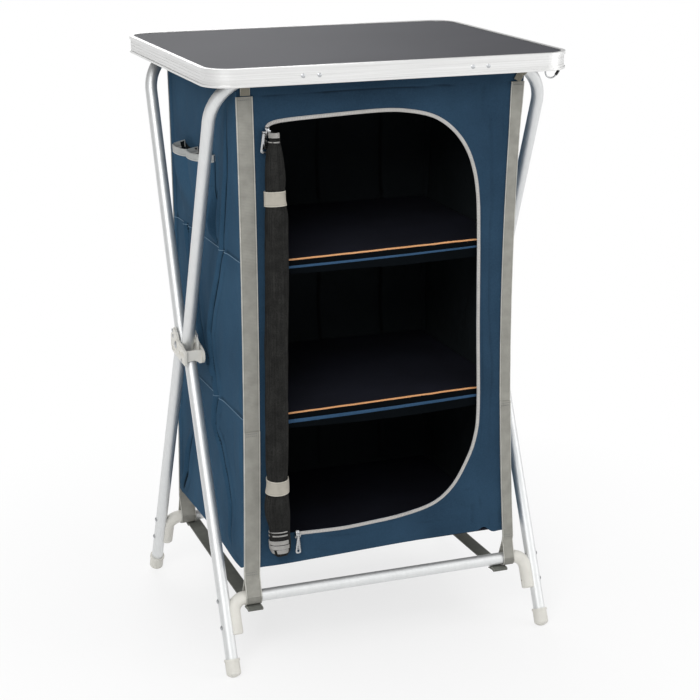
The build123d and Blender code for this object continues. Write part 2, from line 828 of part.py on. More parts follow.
def cloth_wall(bow, start_bow, end_bow, half_length, face, folds):
    """Loft of a wall through its bottom, middle and top sections."""
    sections = []
    for height in (cabinet_floor, cabinet_middle, cabinet_roof):
        sag = drawn_in(1, height)
        start = start_bow * sag - half_length
        end = half_length - end_bow * sag
        depth = fold_end_depth + (fold_depth - fold_end_depth) * sag
        sections.append(wall_section(height, start, end, face - bow * sag, folds, depth))
    with BuildPart() as wall:
        loft(sections)
    return wall.part


def turned(part, angle):
    """A wall turned about the vertical axis."""
    with BuildPart() as other:
        add(part, rotation=(0, 0, angle))
    return other.part


back_half_length = side_face - cloth - seat_gap
left_wall = cloth_wall(left_bow, 0, 0, front_face, side_face, side_folds)
right_wall = cloth_wall(right_bow, 0, 0, front_face, side_face, [-fold for fold in reversed(side_folds)])
back_wall = cloth_wall(back_bow, left_bow, right_bow, back_half_length, front_face, back_folds)
write(turned(left_wall, 90), "side_panel_left")
write(turned(right_wall, -90), "side_panel_right")
write(back_wall, "back_panel")


def edge_bow(side):
    """Bow of the wall on this side."""
    return right_bow if side > 0 else left_bow


def inside_wall(side, height, gap):
    """X of a wall's inner surface, less a gap."""
    return side * (side_face - drawn_in(edge_bow(side), height) - cloth - gap)


# Front panel with its door opening, hem notch and bowed sides
with BuildPart() as front_panel:
    front_plane = Plane(origin=(0, -front_face, 0), x_dir=(1, 0, 0), z_dir=(0, -1, 0))
    with BuildSketch(front_plane):
        with BuildLine():
            left_x = [inside_wall(-1, h, seat_gap) for h in (cabinet_floor, cabinet_middle, cabinet_roof)]
            right_x = [inside_wall(1, h, seat_gap) for h in (cabinet_floor, cabinet_middle, cabinet_roof)]
            ThreePointArc(
                (left_x[0], cabinet_floor), (left_x[1], cabinet_middle), (left_x[2], cabinet_roof)
            )
            Line((left_x[2], cabinet_roof), (right_x[2], cabinet_roof))
            ThreePointArc(
                (right_x[2], cabinet_roof), (right_x[1], cabinet_middle), (right_x[0], cabinet_floor)
            )
            Polyline(
                (right_x[0], cabinet_floor),
                (hem_notch_place + hem_notch_width / 2, cabinet_floor),
                (hem_notch_place, cabinet_floor + hem_notch_height),
                (hem_notch_place - hem_notch_width / 2, cabinet_floor),
                (left_x[0], cabinet_floor),
            )
        make_face()
        with BuildSketch(mode=Mode.SUBTRACT):
            with BuildLine():
                FilletPolyline(
                    (door_left, door_bottom),
                    (door_right, door_bottom),
                    (door_right, door_top),
                    (door_left, door_top),
                    radius=(door_hinge_bend / 4, door_bottom_bend, door_top_bend, door_hinge_bend),
                    close=True,
                )
            make_face()
            offset(amount=-zip_width / 2)
    extrude(amount=-cloth)
write(front_panel.part, "front_panel")

# Roof of the cabinet
with BuildPart() as roof_panel:
    with BuildSketch(Plane.XY.offset(cabinet_roof)):
        roof_width = 2 * (side_face - cloth - seat_gap)
        roof_depth = 2 * (front_face - cloth - seat_gap)
        Rectangle(roof_width, roof_depth)
    extrude(amount=-cloth)
write(roof_panel.part, "roof_panel")


def shelf(height, front_gap):
    """Stiff board in its sleeve, as wide as the walls leave it at this height."""
    left = inside_wall(-1, height, running_gap)
    right = inside_wall(1, height, running_gap)
    depth = 2 * (front_face - cloth - running_gap) - drawn_in(back_bow, height) - front_gap
    with BuildPart() as board:
        with BuildSketch(Plane.XY.offset(height - board_thickness / 2)):
            with Locations((left, front_gap - front_face + cloth + running_gap)):
                Rectangle(right - left, depth, align=Align.MIN)
        extrude(amount=board_thickness)
        fillet(board.edges().filter_by(Axis.X), board_thickness / 3)
    return board.part


write(shelf(lower_shelf_height, shelf_inset), "shelf_board_lower")
write(shelf(upper_shelf_height, shelf_inset), "shelf_board_upper")
floor_height = cabinet_floor + board_thickness / 2
write(shelf(floor_height, 0), "floor_board")

# Cloth lips that hang from the front of the shelves, and the piping over them
shelf_front = front_face - cloth - running_gap - shelf_inset
with BuildPart() as shelf_lips:
    for height in (lower_shelf_height, upper_shelf_height):
        top = height + board_thickness / 2
        low = height - lip_drop
        left = inside_wall(-1, cabinet_middle, 0) + 2 * fold_depth
        right = inside_wall(1, cabinet_middle, 0) - 2 * fold_depth
        lip_plane = Plane(origin=(0, -shelf_front - seat_gap, 0), x_dir=(1, 0, 0), z_dir=(0, -1, 0))
        with BuildSketch(lip_plane):
            with BuildLine():
                Polyline((left, low), (left, top), (right, top), (right, low))
                ThreePointArc((right, low), ((left + right) / 2, low - lip_sag), (left, low))
            make_face()
        extrude(amount=cloth)
write(shelf_lips.part, "shelf_lips")

with BuildPart() as shelf_piping:
    piping_y = -shelf_front - seat_gap - cloth / 2
    for height in (lower_shelf_height, upper_shelf_height):
        top = height + board_thickness / 2 + piping_diameter / 2 + seat_gap
        with BuildSketch(Plane(origin=(left, piping_y, top), z_dir=(1, 0, 0))):
            Circle(piping_diameter / 2)
        extrude(amount=right - left)
write(shelf_piping.part, "shelf_piping")

# Zip round the door opening
zip_plane = Plane(origin=(0, -front_face - seat_gap, 0), x_dir=(1, 0, 0), z_dir=(0, -1, 0))
with BuildPart() as zip_track:
    with BuildLine(zip_plane):
        zip_route = FilletPolyline(
            (door_left, zip_start_height - slider_height / 2),
            (door_left, door_top),
            (door_right, door_top),
            (door_right, door_bottom),
            (zip_end_reach, door_bottom),
            radius=(door_hinge_bend / 2, door_top_bend, door_bottom_bend),
        )
    with BuildSketch(Plane(origin=zip_route @ 0, x_dir=(1, 0, 0), z_dir=zip_route % 0)):
        with Locations((0, 0)):
            Rectangle(zip_width, zip_thickness, align=(Align.CENTER, Align.MAX))
    sweep()
write(zip_track.part, "zip_track")


def slider_plane(x, z):
    """Front of the zip where a slider stands, facing forwards."""
    reach = front_face + zip_thickness + 2 * seat_gap
    return Plane(origin=(x, -reach, z), x_dir=(1, 0, 0), z_dir=(0, -1, 0))


def slider(x, z):
    """Zip slider: a tapered body with two lugs and the pin that carries the pull."""
    plane = slider_plane(x, z)
    with BuildPart() as body:
        with BuildSketch(plane):
            Trapezoid(slider_width, slider_height, slider_taper)
        extrude(amount=slider_thickness)
        fillet(body.edges().filter_by(Axis.Y), slider_lug / 2)
        with Locations(plane.offset(slider_thickness)):
            with GridLocations(2 * slider_lug_reach, 1, 2, 1):
                Box(
                    slider_lug / 2,
                    2 * slider_lug,
                    2 * slider_lug,
                    align=(Align.CENTER, Align.CENTER, Align.MIN),
                )
        with Locations(plane.offset(slider_thickness + slider_lug)):
            Cylinder(pull_pin_diameter / 2, 2 * slider_lug_reach, rotation=(0, 90, 0))
    return body.part


def pull(x, z):
    """Zip pull: an eye on the slider's pin and a tapered tab with a hole at its end."""
    plane = slider_plane(x, z).offset(slider_thickness + slider_lug)
    with BuildPart() as tab:
        with BuildSketch(plane):
            with BuildLine():
                Polyline(
                    (-pull_eye_width / 2, pull_thickness),
                    (pull_eye_width / 2, pull_thickness),
                    (pull_eye_width / 2, -pull_width / 2),
                    (pull_width / 2, -pull_length + pull_width / 2),
                    (pull_width / 2, -pull_length),
                    (-pull_width / 2, -pull_length),
                    (-pull_width / 2, -pull_length + pull_width / 2),
                    (-pull_eye_width / 2, -pull_width / 2),
                    close=True,
                )
            make_face()
        extrude(amount=pull_thickness / 2, both=True)
        fillet(tab.edges().filter_by(Axis.Y).group_by(Axis.Z)[0], pull_width / 3)
        with Locations(plane.location * Location((0, pull_width / 2 - pull_length, 0))):
            Cylinder(pull_eye_hole / 2, 2 * pull_thickness, mode=Mode.SUBTRACT)
        with Locations(plane):
            Cylinder(pull_eye / 2, pull_eye_width, rotation=(0, 90, 0))
            Cylinder(
                pull_pin_diameter / 2 + hook_gap, 2 * pull_eye_width, rotation=(0, 90, 0), mode=Mode.SUBTRACT
            )
    return tab.part


upper_slider_height = zip_start_height - slider_height / 2
with BuildPart() as zip_sliders:
    add(slider(door_left, upper_slider_height))
    add(slider(zip_end_reach, door_bottom))
write(zip_sliders.part, "zip_sliders")
write(pull(door_left, upper_slider_height), "zip_pull_upper")
write(pull(zip_end_reach, door_bottom), "zip_pull_lower")

# Rolled mesh door, a flattened roll with a step where its last turn ends
roll_sections = []
for height, middle, half_width, pinch in (
    (roll_low, roll_middle, roll_half_width, 0),
    (lower_tie, roll_middle, roll_half_width, roll_pinch),
    ((lower_tie + upper_tie) / 2, roll_middle, roll_half_width, 0),
    (upper_tie + tie_height / 2, roll_middle, roll_half_width, roll_pinch),
    (roll_neck_height, roll_neck_middle, roll_neck_half_width, 0),
    (roll_high, roll_neck_middle, roll_neck_half_width, roll_pinch),
):
    with BuildSketch(Plane(origin=(middle, -roll_depth, height), z_dir=(0, 0, 1))) as section:
        Ellipse(half_width - pinch, roll_half_depth - pinch)
    roll_sections.append(section.sketch.faces()[0])
with BuildPart() as mesh_door_roll:
    loft(roll_sections, ruled=True)
write(mesh_door_roll.part, "mesh_door_roll")

# Webbing ties round the roll
with BuildPart() as door_ties:
    tie_half_width = roll_half_width - roll_pinch + 1.5 * running_gap
    tie_half_depth = roll_half_depth - roll_pinch + 1.5 * running_gap
    for height in (lower_tie, upper_tie):
        with BuildSketch(Plane(origin=(roll_middle, -roll_depth, height), z_dir=(0, 0, 1))):
            Ellipse(tie_half_width + tie_thickness, tie_half_depth + tie_thickness)
            with Locations((-tie_half_width, roll_depth - front_face - running_gap)):
                Rectangle(tie_thickness, roll_half_depth, align=(Align.MAX, Align.MAX))
                Rectangle(tie_seam_width, tie_thickness, align=(Align.MAX, Align.MAX))
            Ellipse(tie_half_width, tie_half_depth, mode=Mode.SUBTRACT)
        extrude(amount=tie_height / 2, both=True)
write(door_ties.part, "door_ties")


# Cloth pockets, sewn to the left wall along their sides and foot
def pocket_face(height, mouth, start, end, bulges, skin, sunk):
    """Bulging pocket seen from above. Skin draws it in, or lets it out where it is negative."""
    share = pocket_foot_share + (1 - pocket_foot_share) * (height - pocket_foot) / (mouth - pocket_foot)
    start_out, middle_out, end_out = [bulge * share - skin for bulge in bulges]
    wall = side_face + running_gap - drawn_in(left_bow, height)
    back = sunk - wall
    with BuildSketch(Plane.XY.offset(height)) as section:
        with BuildLine():
            ThreePointArc(
                (-wall - start_out, start + skin),
                (-wall - middle_out, (start + end) / 2),
                (-wall - end_out, end - skin),
            )
            Polyline(
                (-wall - end_out, end - skin),
                (back, end - skin),
                (back, start + skin),
                (-wall - start_out, start + skin),
            )
        make_face()
    return section.sketch.faces()[0]


def pocket_block(low, high, mouth, start, end, bulges, skin, sunk=0):
    """Solid between two heights of a pocket, sunk into the wall where it is cut away."""
    with BuildPart() as block:
        loft([pocket_face(height, mouth, start, end, bulges, skin, sunk) for height in (low, high)])
    return block.part


def pocket(mouth, start, end, bulges, behind):
    """Open-topped pocket that is flat at its foot and stands out at its mouth."""
    with BuildPart() as pouch:
        add(pocket_block(pocket_foot, mouth, mouth, start, end, bulges, 0))
        low = pocket_foot + pocket_cloth
        high = mouth + pocket_cloth
        inside = pocket_block(low, high, mouth, start, end, bulges, pocket_cloth, pocket_cloth)
        add(inside, mode=Mode.SUBTRACT)
        for hidden in behind:
            add(hidden, mode=Mode.SUBTRACT)
    return pouch.part


rear_shape = (rear_pocket_mouth, rear_pocket_start, rear_pocket_end, (pocket_edge_bulge, rear_pocket_bulge, pocket_edge_bulge))
front_shape = (front_pocket_mouth, front_pocket_start, front_pocket_end, (pocket_edge_bulge, front_pocket_bulge, front_pocket_end_bulge))
rear_block = pocket_block(
    pocket_foot - pocket_cloth,
    front_pocket_mouth + pocket_cloth,
    *rear_shape,
    -binding_thickness - running_gap,
    pocket_cloth,
)
write(pocket(*rear_shape, []), "side_pocket_rear")
write(pocket(*front_shape, [rear_block]), "side_pocket_front")


def binding(mouth, start, end, bulges, behind):
    """Bound edge round a pocket's mouth."""
    low = mouth - binding_height
    with BuildPart() as band:
        add(pocket_block(low, mouth, mouth, start, end, bulges, -binding_thickness - seat_gap))
        add(pocket_block(low, mouth, mouth, start, end, bulges, -seat_gap), mode=Mode.SUBTRACT)
        for hidden in behind:
            add(hidden, mode=Mode.SUBTRACT)
    return band.part


with BuildPart() as pocket_bindings:
    add(binding(*rear_shape, []))
    add(binding(*front_shape, [rear_block]))
write(pocket_bindings.part, "pocket_bindings")


# Webbing. Each corner strap runs down the cabinet's edge, goes round the rail and is sewn back on itself.
def ring_outline(inner, middle, apex, apex_radius, thickness):
    """Teardrop loop round a bar, drawn together at its apex."""
    with BuildSketch() as loop:
        with Locations(middle):
            Circle(inner + thickness)
        with Locations(apex):
            Circle(apex_radius)
        make_hull()
        with BuildSketch(mode=Mode.PRIVATE) as hollow:
            with Locations(middle):
                Circle(inner)
            with Locations(apex):
                Circle(apex_radius / 4)
            make_hull()
        add(hollow.sketch, mode=Mode.SUBTRACT)
    return loop.sketch


def strap_band(side):
    """Front view of a corner strap, which follows the bowed edge of the cabinet."""
    outer = side_face + strap_outset
    middle = side_face + strap_outset - edge_bow(side)
    with BuildSketch() as band:
        with BuildLine():
            ThreePointArc(
                (side * outer, strap_top), (side * middle, cabinet_middle), (side * outer, strap_join)
            )
            Polyline(
                (side * outer, strap_join),
                (side * outer, 0),
                (side * (outer - strap_width), 0),
                (side * (outer - strap_width), strap_join),
            )
            ThreePointArc(
                (side * (outer - strap_width), strap_join),
                (side * (middle - strap_width), cabinet_middle),
                (side * (outer - strap_width), strap_top),
            )
            Line((side * (outer - strap_width), strap_top), (side * outer, strap_top))
        make_face()
    return band.sketch


def corner_strap(side):
    """Front corner strap: webbing seen from the side, cut to its band."""
    face = -strap_front
    with BuildPart() as strap:
        with BuildSketch(Plane.YZ):
            with Locations((face, strap_join)):
                Rectangle(strap_thickness, strap_top - strap_join, align=(Align.MAX, Align.MIN))
            with Locations((face - strap_thickness, strap_join)):
                Rectangle(strap_thickness, strap_double_top - strap_join, align=(Align.MAX, Align.MIN))
            apex = (face - strap_thickness, strap_join + strap_thickness)
            add(ring_outline(elbow_clear, (-rail_reach, rail_height), apex, strap_thickness, strap_thickness))
        extrude(amount=leg_plane, both=True)
        with BuildSketch(Plane.XZ):
            add(strap_band(side))
        extrude(amount=2 * front_face, mode=Mode.INTERSECT)
    return strap.part


for side, side_name in ((-1, "left"), (1, "right")):
    front_strap = corner_strap(side)
    write(front_strap, f"corner_strap_front_{side_name}")
    write(mirrored(front_strap, Plane.XZ), f"corner_strap_rear_{side_name}")


# Tabs of webbing that hang the cabinet from the two crossbars
with BuildPart() as top_tabs_front:
    bend_angle = asin((tab_reach - leg_plane + frame_bend_radius) / frame_bend_radius)
    bend_drop = frame_bend_radius * (1 - cos(bend_angle))
    bar = upper_point(1, -1, upper_length - bend_drop)
    tab_inner = rail_clear + tab_width**2 / (8 * frame_bend_radius)
    flap_back = -strap_front - tab_thickness - bar.Y
    flap_low = (tab_low - bar.Z) / cos(bend_angle)
    flap_top = (tab_join - bar.Z) / cos(bend_angle)
    for side in (-1, 1):
        along = (
            cos(bend_angle),
            side * sin(bend_angle) * sin(upper_slope),
            -side * sin(bend_angle) * cos(upper_slope),
        )
        with BuildSketch(Plane(origin=(side * tab_reach, bar.Y, bar.Z), x_dir=(0, 1, 0), z_dir=along)):
            add(ring_outline(tab_inner, (0, 0), (flap_back - tab_thickness, flap_top), tab_thickness, tab_thickness))
            with Locations((flap_back, flap_low)):
                Rectangle(2 * tab_thickness, flap_top - flap_low, align=(Align.MAX, Align.MIN))
        extrude(amount=tab_width / 2, both=True)
write(top_tabs_front.part, "top_tabs_front")
write(mirrored(top_tabs_front.part, Plane.XZ), "top_tabs_rear")


def base_strap(middle, inner):
    """Webbing from the front rail to the rear one, with a loop round each."""
    outer = inner + base_strap_thickness
    with BuildPart() as strap:
        with BuildSketch(Plane.YZ.offset(middle)):
            with Locations((-rail_reach, rail_height), (rail_reach, rail_height)):
                Circle(outer)
            with Locations((0, rail_height + inner)):
                Rectangle(2 * rail_reach, base_strap_thickness, align=(Align.CENTER, Align.MIN))
            with Locations((-rail_reach, rail_height), (rail_reach, rail_height)):
                Circle(inner, mode=Mode.SUBTRACT)
        extrude(amount=base_strap_width / 2, both=True)
    return strap.part


write(base_strap(left_base_strap, rail_clear), "base_strap_left")
write(base_strap(right_base_strap, rail_clear), "base_strap_right")
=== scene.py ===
import json
from bisect import bisect
from math import asin, atan, atan2, cos, exp, hypot, pi, radians, sin

import bpy
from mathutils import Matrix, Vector, noise


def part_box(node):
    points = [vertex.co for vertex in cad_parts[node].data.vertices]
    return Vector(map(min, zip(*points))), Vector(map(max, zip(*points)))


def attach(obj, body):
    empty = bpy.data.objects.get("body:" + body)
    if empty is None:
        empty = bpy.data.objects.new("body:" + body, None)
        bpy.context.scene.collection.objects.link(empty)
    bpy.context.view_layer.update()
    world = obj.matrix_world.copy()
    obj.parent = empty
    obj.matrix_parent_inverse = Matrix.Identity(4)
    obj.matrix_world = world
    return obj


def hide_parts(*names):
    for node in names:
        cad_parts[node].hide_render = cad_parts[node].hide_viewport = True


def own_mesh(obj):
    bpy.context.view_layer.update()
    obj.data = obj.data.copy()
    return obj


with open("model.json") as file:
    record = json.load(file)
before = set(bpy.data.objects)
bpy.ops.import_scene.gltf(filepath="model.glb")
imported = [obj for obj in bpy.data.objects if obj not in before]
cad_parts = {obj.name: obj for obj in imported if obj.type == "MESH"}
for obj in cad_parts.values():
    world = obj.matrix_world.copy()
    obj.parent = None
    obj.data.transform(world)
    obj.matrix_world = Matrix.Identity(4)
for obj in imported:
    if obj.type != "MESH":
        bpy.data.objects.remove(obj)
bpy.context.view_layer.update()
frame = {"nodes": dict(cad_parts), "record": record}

# Sizes of the cabinet and the frame, in metres
SIDE_FACE = 0.240
FRONT_FACE = 0.192
FLOOR = 0.168
ROOF = 0.938
FRONT_TOP = 0.9452
MIDDLE = (FLOOR + ROOF) / 2
CORNER = 0.2387
CLOTH = 0.0012
BOW = {-1: 0.004, 1: 0.012}
BACK_BOW = 0.005
SIDE_FOLDS = (-0.150, -0.116, 0.172)
BACK_FOLDS = (-0.120, 0.030, 0.150)
FOLD_DEPTH = 0.005
FOLD_WIDTH = 0.0065
SEAMS = (0.676, 0.420)
# Creases of the left wall from the photo: lines of height, depth from front to rear, and how deep they are
CREASES = (
    (
        (0.925, -0.155, 0.000),
        (0.794, -0.139, 0.003),
        (0.734, -0.121, 0.004),
        (0.672, -0.101, 0.005),
        (0.616, -0.077, 0.005),
        (0.561, -0.047, 0.006),
        (0.520, -0.027, 0.006),
        (0.488, -0.032, 0.006),
        (0.443, -0.055, 0.007),
        (0.417, -0.057, 0.006),
        (0.387, -0.047, 0.006),
        (0.362, -0.045, 0.006),
        (0.342, -0.070, 0.006),
        (0.298, -0.103, 0.005),
        (0.254, -0.126, 0.004),
        (0.200, -0.126, 0.003),
        (0.175, -0.130, 0.000),
    ),
    (
        (0.650, 0.062, 0.000),
        (0.581, 0.046, 0.005),
        (0.519, 0.033, 0.007),
        (0.485, 0.015, 0.007),
        (0.462, -0.017, 0.007),
        (0.445, -0.043, 0.004),
        (0.430, -0.052, 0.000),
    ),
    ((0.676, 0.106, 0.005), (0.664, 0.094, 0.006), (0.645, 0.091, 0.004), (0.600, 0.094, 0.000)),
    (
        (0.302, 0.104, 0.000),
        (0.286, 0.109, 0.004),
        (0.259, 0.121, 0.006),
        (0.216, 0.135, 0.006),
        (0.189, 0.156, 0.004),
        (0.178, 0.163, 0.000),
    ),
    (
        (0.770, -0.074, 0.000),
        (0.735, -0.070, 0.008),
        (0.714, -0.069, 0.012),
        (0.694, -0.068, 0.009),
        (0.679, -0.066, 0.000),
    ),
)
# Outline of the door opening, clockwise from its top left corner, as X and Z
DOOR_MIDDLE = (-0.012, 0.553)
DOOR_LINE = (
    (-0.192, 0.884),
    (-0.169, 0.8905),
    (-0.088, 0.8945),
    (0.000, 0.897),
    (0.045, 0.893),
    (0.084, 0.883),
    (0.114, 0.864),
    (0.138, 0.836),
    (0.154, 0.800),
    (0.163, 0.752),
    (0.166, 0.676),
    (0.168, 0.530),
    (0.171, 0.390),
    (0.166, 0.340),
    (0.152, 0.301),
    (0.126, 0.258),
    (0.091, 0.232),
    (0.035, 0.219),
    (-0.020, 0.214),
    (-0.073, 0.211),
    (-0.143, 0.2125),
    (-0.192, 0.212),
)
ZIP_WIDTH = 0.0056
ZIP_START = 0.8755
ZIP_END = -0.150
ZIP_FACE = 0.1921
TOOTH_PITCH = 0.0026
TOOTH_WIDTH = 0.0034
TOOTH_LENGTH = 0.0016
TOOTH_RISE = 0.0012
SHELVES = {"lower": 0.420, "upper": 0.672}
BOARD = 0.006
SHELF_FRONT = 0.1846
SHELF_LEFT = -0.2248
SHELF_WIDTH = 0.4416
LIP_DROP = 0.022
# Droop of each shelf's lip, and the drop and width of its seam tape
LIP_SHAPE = {"upper": (0.004, 0.0112, 0.0040), "lower": (0.008, 0.0132, 0.0062)}
# Door roll: how far forward it hangs, half its depth, and its left and right edge at a row of heights
ROLL_DEPTH = 0.2074
ROLL_HALF_DEPTH = 0.0135
ROLL_EDGES = (
    (0.188, -0.1930, -0.1750),
    (0.196, -0.1985, -0.1695),
    (0.213, -0.2012, -0.1684),
    (0.236, -0.2020, -0.1690),
    (0.258, -0.2075, -0.1680),
    (0.284, -0.2080, -0.1690),
    (0.309, -0.2040, -0.1685),
    (0.335, -0.2045, -0.1700),
    (0.452, -0.2035, -0.1680),
    (0.615, -0.2018, -0.1665),
    (0.741, -0.2010, -0.1663),
    (0.774, -0.2010, -0.1690),
    (0.802, -0.2010, -0.1701),
    (0.826, -0.2000, -0.1728),
    (0.846, -0.1965, -0.1759),
    (0.860, -0.1918, -0.1785),
    (0.875, -0.1912, -0.1795),
)
# Turns of zip tape that show on the roll: height, width and gap
ROLL_TAPES = (
    (0.1950, 0.0062, 0.0002),
    (0.2025, 0.0064, 0.0008),
    (0.2105, 0.0066, 0.0004),
    (0.2225, 0.0022, 0.0000),
    (0.2285, 0.0016, 0.0000),
    (0.8610, 0.0018, 0.0002),
    (0.8715, 0.0074, 0.0006),
)
TIES = (0.308, 0.774)
TIE_HEIGHT = 0.023
STRAP_WIDTH = {-1: 0.027, 1: 0.0225}
STRAP = 0.0014
STRAP_TOP = 0.930
STRAP_JOIN = 0.147
STRAP_DOUBLE = 0.397
RAIL_WRAP = 0.0113
RAIL_HEIGHT = 0.1137
CROSSING = (0.0178, 0.502)
CROSSBAR = (0.194, 0.962)
FOOT_REACH = 0.243
BEND_RADIUS = 0.076
LEG_PLANE = 0.276
UPPER_SLOPE = atan((CROSSBAR[0] - CROSSING[0]) / (CROSSBAR[1] - CROSSING[1]))
RAIL_REACH = CROSSING[0] + (CROSSING[1] - RAIL_HEIGHT) * (FOOT_REACH - CROSSING[0]) / CROSSING[1]
SMOOTH_UP_TO = radians(50)


# Colours and materials
def linear(hex_colour):
    """sRGB hex to linear RGBA."""
    channels = [int(hex_colour[i : i + 2], 16) / 255 for i in (1, 3, 5)]
    return [c / 12.92 if c <= 0.04045 else ((c + 0.055) / 1.055) ** 2.4 for c in channels] + [1.0]


def add_node(tree, kind, inputs=None, **settings):
    """A shader node with its settings, values and links."""
    node = tree.nodes.new(kind)
    for name, value in settings.items():
        setattr(node, name, value)
    for name, value in (inputs or {}).items():
        if isinstance(value, bpy.types.NodeSocket):
            tree.links.new(value, node.inputs[name])
        else:
            node.inputs[name].default_value = value
    return node


def remap(tree, value, low=0.0, high=1.0, from_low=0.0, from_high=1.0):
    """A value mapped from one range to another."""
    limits = {"From Min": from_low, "From Max": from_high, "To Min": low, "To Max": high}
    return add_node(tree, "ShaderNodeMapRange", {"Value": value, **limits}).outputs[0]


def maths(tree, operation, *values):
    """Result of a maths node."""
    return add_node(tree, "ShaderNodeMath", dict(enumerate(values)), operation=operation).outputs[0]


def new_material(name, **values):
    """Material with a principled surface, and the place of each point on its object."""
    material = bpy.data.materials.new(name)
    material.use_nodes = True
    tree = material.node_tree
    surface = tree.nodes["Principled BSDF"]
    for key, value in values.items():
        surface.inputs[key.replace("_", " ").title().replace("Ior", "IOR")].default_value = value
    return material, tree, surface, add_node(tree, "ShaderNodeTexCoord").outputs["Object"]


def noise_of(tree, vector, scale, detail=3.0):
    """Soft noise at a scale in features per metre."""
    inputs = {"Vector": vector, "Scale": scale, "Detail": detail}
    return add_node(tree, "ShaderNodeTexNoise", inputs).outputs["Fac"]


def two_tones(tree, surface, share, first, second):
    """Surface colour that drifts between two tones."""
    tones = {"Factor": share, "A": linear(first), "B": linear(second)}
    mix = add_node(tree, "ShaderNodeMix", tones, data_type="RGBA")
    tree.links.new(mix.outputs["Result"], surface.inputs["Base Color"])
    return mix.outputs["Result"]


def shaded_by(tree, surface, colour, shade):
    """Surface colour made darker or lighter by a value."""
    scaled = add_node(tree, "ShaderNodeVectorMath", {0: colour, "Scale": shade}, operation="SCALE")
    tree.links.new(scaled.outputs[0], surface.inputs["Base Color"])


def uneven_gloss(tree, surface, share, low, high):
    """Roughness that drifts between two values."""
    tree.links.new(remap(tree, share, low, high), surface.inputs["Roughness"])


def stretched(tree, vector, scale):
    """Texture coordinates at their own scale along each axis."""
    return add_node(tree, "ShaderNodeMapping", {"Vector": vector, "Scale": scale}).outputs[0]


def relief(tree, surface, height, distance, strength=1.0, below=None):
    """Bump of a real depth in metres, over another one if given."""
    inputs = {"Height": height, "Distance": distance, "Strength": strength}
    if below is not None:
        inputs["Normal"] = below
    bump = add_node(tree, "ShaderNodeBump", inputs).outputs["Normal"]
    tree.links.new(bump, surface.inputs["Normal"])
    return bump


# Woven 600-denier polyester: matt, a fine grid of threads, a slow drift in tone, and painted shade that
# darkens it along its creases
THREAD = 0.0021


def woven_polyester(name, dark, light, depth=0.0022, shine=0.12):
    material, tree, surface, here = new_material(name, roughness=0.9, specular_ior_level=shine)
    turns = {0: here, 1: (2 * pi / THREAD,) * 3}
    turned = add_node(tree, "ShaderNodeVectorMath", turns, operation="MULTIPLY").outputs[0]
    wave = add_node(tree, "ShaderNodeVectorMath", {0: turned}, operation="SINE").outputs[0]
    sum_of_axes = {0: wave, 1: (1.0, 1.0, 1.0)}
    threads = add_node(tree, "ShaderNodeVectorMath", sum_of_axes, operation="DOT_PRODUCT").outputs["Value"]
    drift, grain = noise_of(tree, here, 9.0, 5.0), noise_of(tree, here, 420.0, 2.0)
    tone = remap(tree, maths(tree, "MULTIPLY_ADD", grain, 0.55, drift), from_low=0.45, from_high=1.1)
    mix = two_tones(tree, surface, tone, dark, light)
    # Painted shade: the colour is darkened where the surface curves inwards, along creases and in hollows
    bend = add_node(tree, "ShaderNodeNewGeometry").outputs["Pointiness"]
    shaded_by(tree, surface, mix, remap(tree, bend, 0.22, from_low=0.468, from_high=0.497))
    crease = noise_of(tree, stretched(tree, here, (1.0, 1.0, 0.35)), 26.0, 4.0)
    soft = relief(tree, surface, crease, depth, 0.6)
    relief(tree, surface, threads, 0.00012, 0.5, soft)
    return material


# Woven polyester webbing: ribs across it every 2 mm, paler selvedges and a thin dark line inside each
def woven_webbing(name, body, edge, line):
    material, tree, surface, here = new_material(name, roughness=0.85, specular_ior_level=0.2)
    on_strip = add_node(tree, "ShaderNodeTexCoord").outputs["UV"]
    across = add_node(tree, "ShaderNodeSeparateXYZ", {0: on_strip}).outputs
    offset = maths(tree, "ABSOLUTE", maths(tree, "SUBTRACT", across["X"], 0.5))
    ramp = add_node(tree, "ShaderNodeValToRGB", {"Fac": offset})
    stops = ((0.0, body), (0.39, body), (0.415, line), (0.43, body), (0.45, edge), (0.5, edge))
    elements = ramp.color_ramp.elements
    while len(elements) < len(stops):
        elements.new(0.5)
    for element, (position, colour) in zip(elements, stops):
        element.position = position
        element.color = linear(colour)
    worn = noise_of(tree, here, 60.0, 4.0)
    shaded_by(tree, surface, ramp.outputs["Color"], remap(tree, worn, 0.86, 1.08, 0.3, 0.7))
    ribs = maths(tree, "SINE", maths(tree, "MULTIPLY", across["Y"], 2 * pi * 13.0))
    relief(tree, surface, ribs, 0.00025, 0.7)
    return material


# Knitted mesh rolled up in charcoal cloth: nearly black, dull, a small open grid, with painted shade in the
# low parts of its folds
def rolled_mesh(name):
    material, tree, surface, here = new_material(name, roughness=0.95, specular_ior_level=0.1)
    grid = {"Vector": here, "Scale": 420.0, "Randomness": 0.35}
    cells = add_node(tree, "ShaderNodeTexVoronoi", grid).outputs["Distance"]
    folds = noise_of(tree, here, 55.0, 5.0)
    # Painted shade: the tone follows the height of the relief, darker in the low parts of the folds and cells
    two_tones(tree, surface, maths(tree, "MULTIPLY", cells, folds), "#111111", "#434341")
    soft = relief(tree, surface, folds, 0.003, 0.7)
    relief(tree, surface, cells, 0.0003, 0.6, soft)
    return material


# Satin anodised aluminium: pale, even, drawn lengthwise so it shows faint streaks
def anodised_aluminium(name, dark, light, roughness, drawn_along=(1.0, 1.0, 0.06)):
    material, tree, surface, here = new_material(name, metallic=0.75, roughness=roughness)
    streaks = noise_of(tree, stretched(tree, here, drawn_along), 240.0, 3.0)
    two_tones(tree, surface, streaks, dark, light)
    uneven_gloss(tree, surface, streaks, roughness - 0.05, roughness + 0.07)
    relief(tree, surface, streaks, 0.00004, 0.3)
    return material


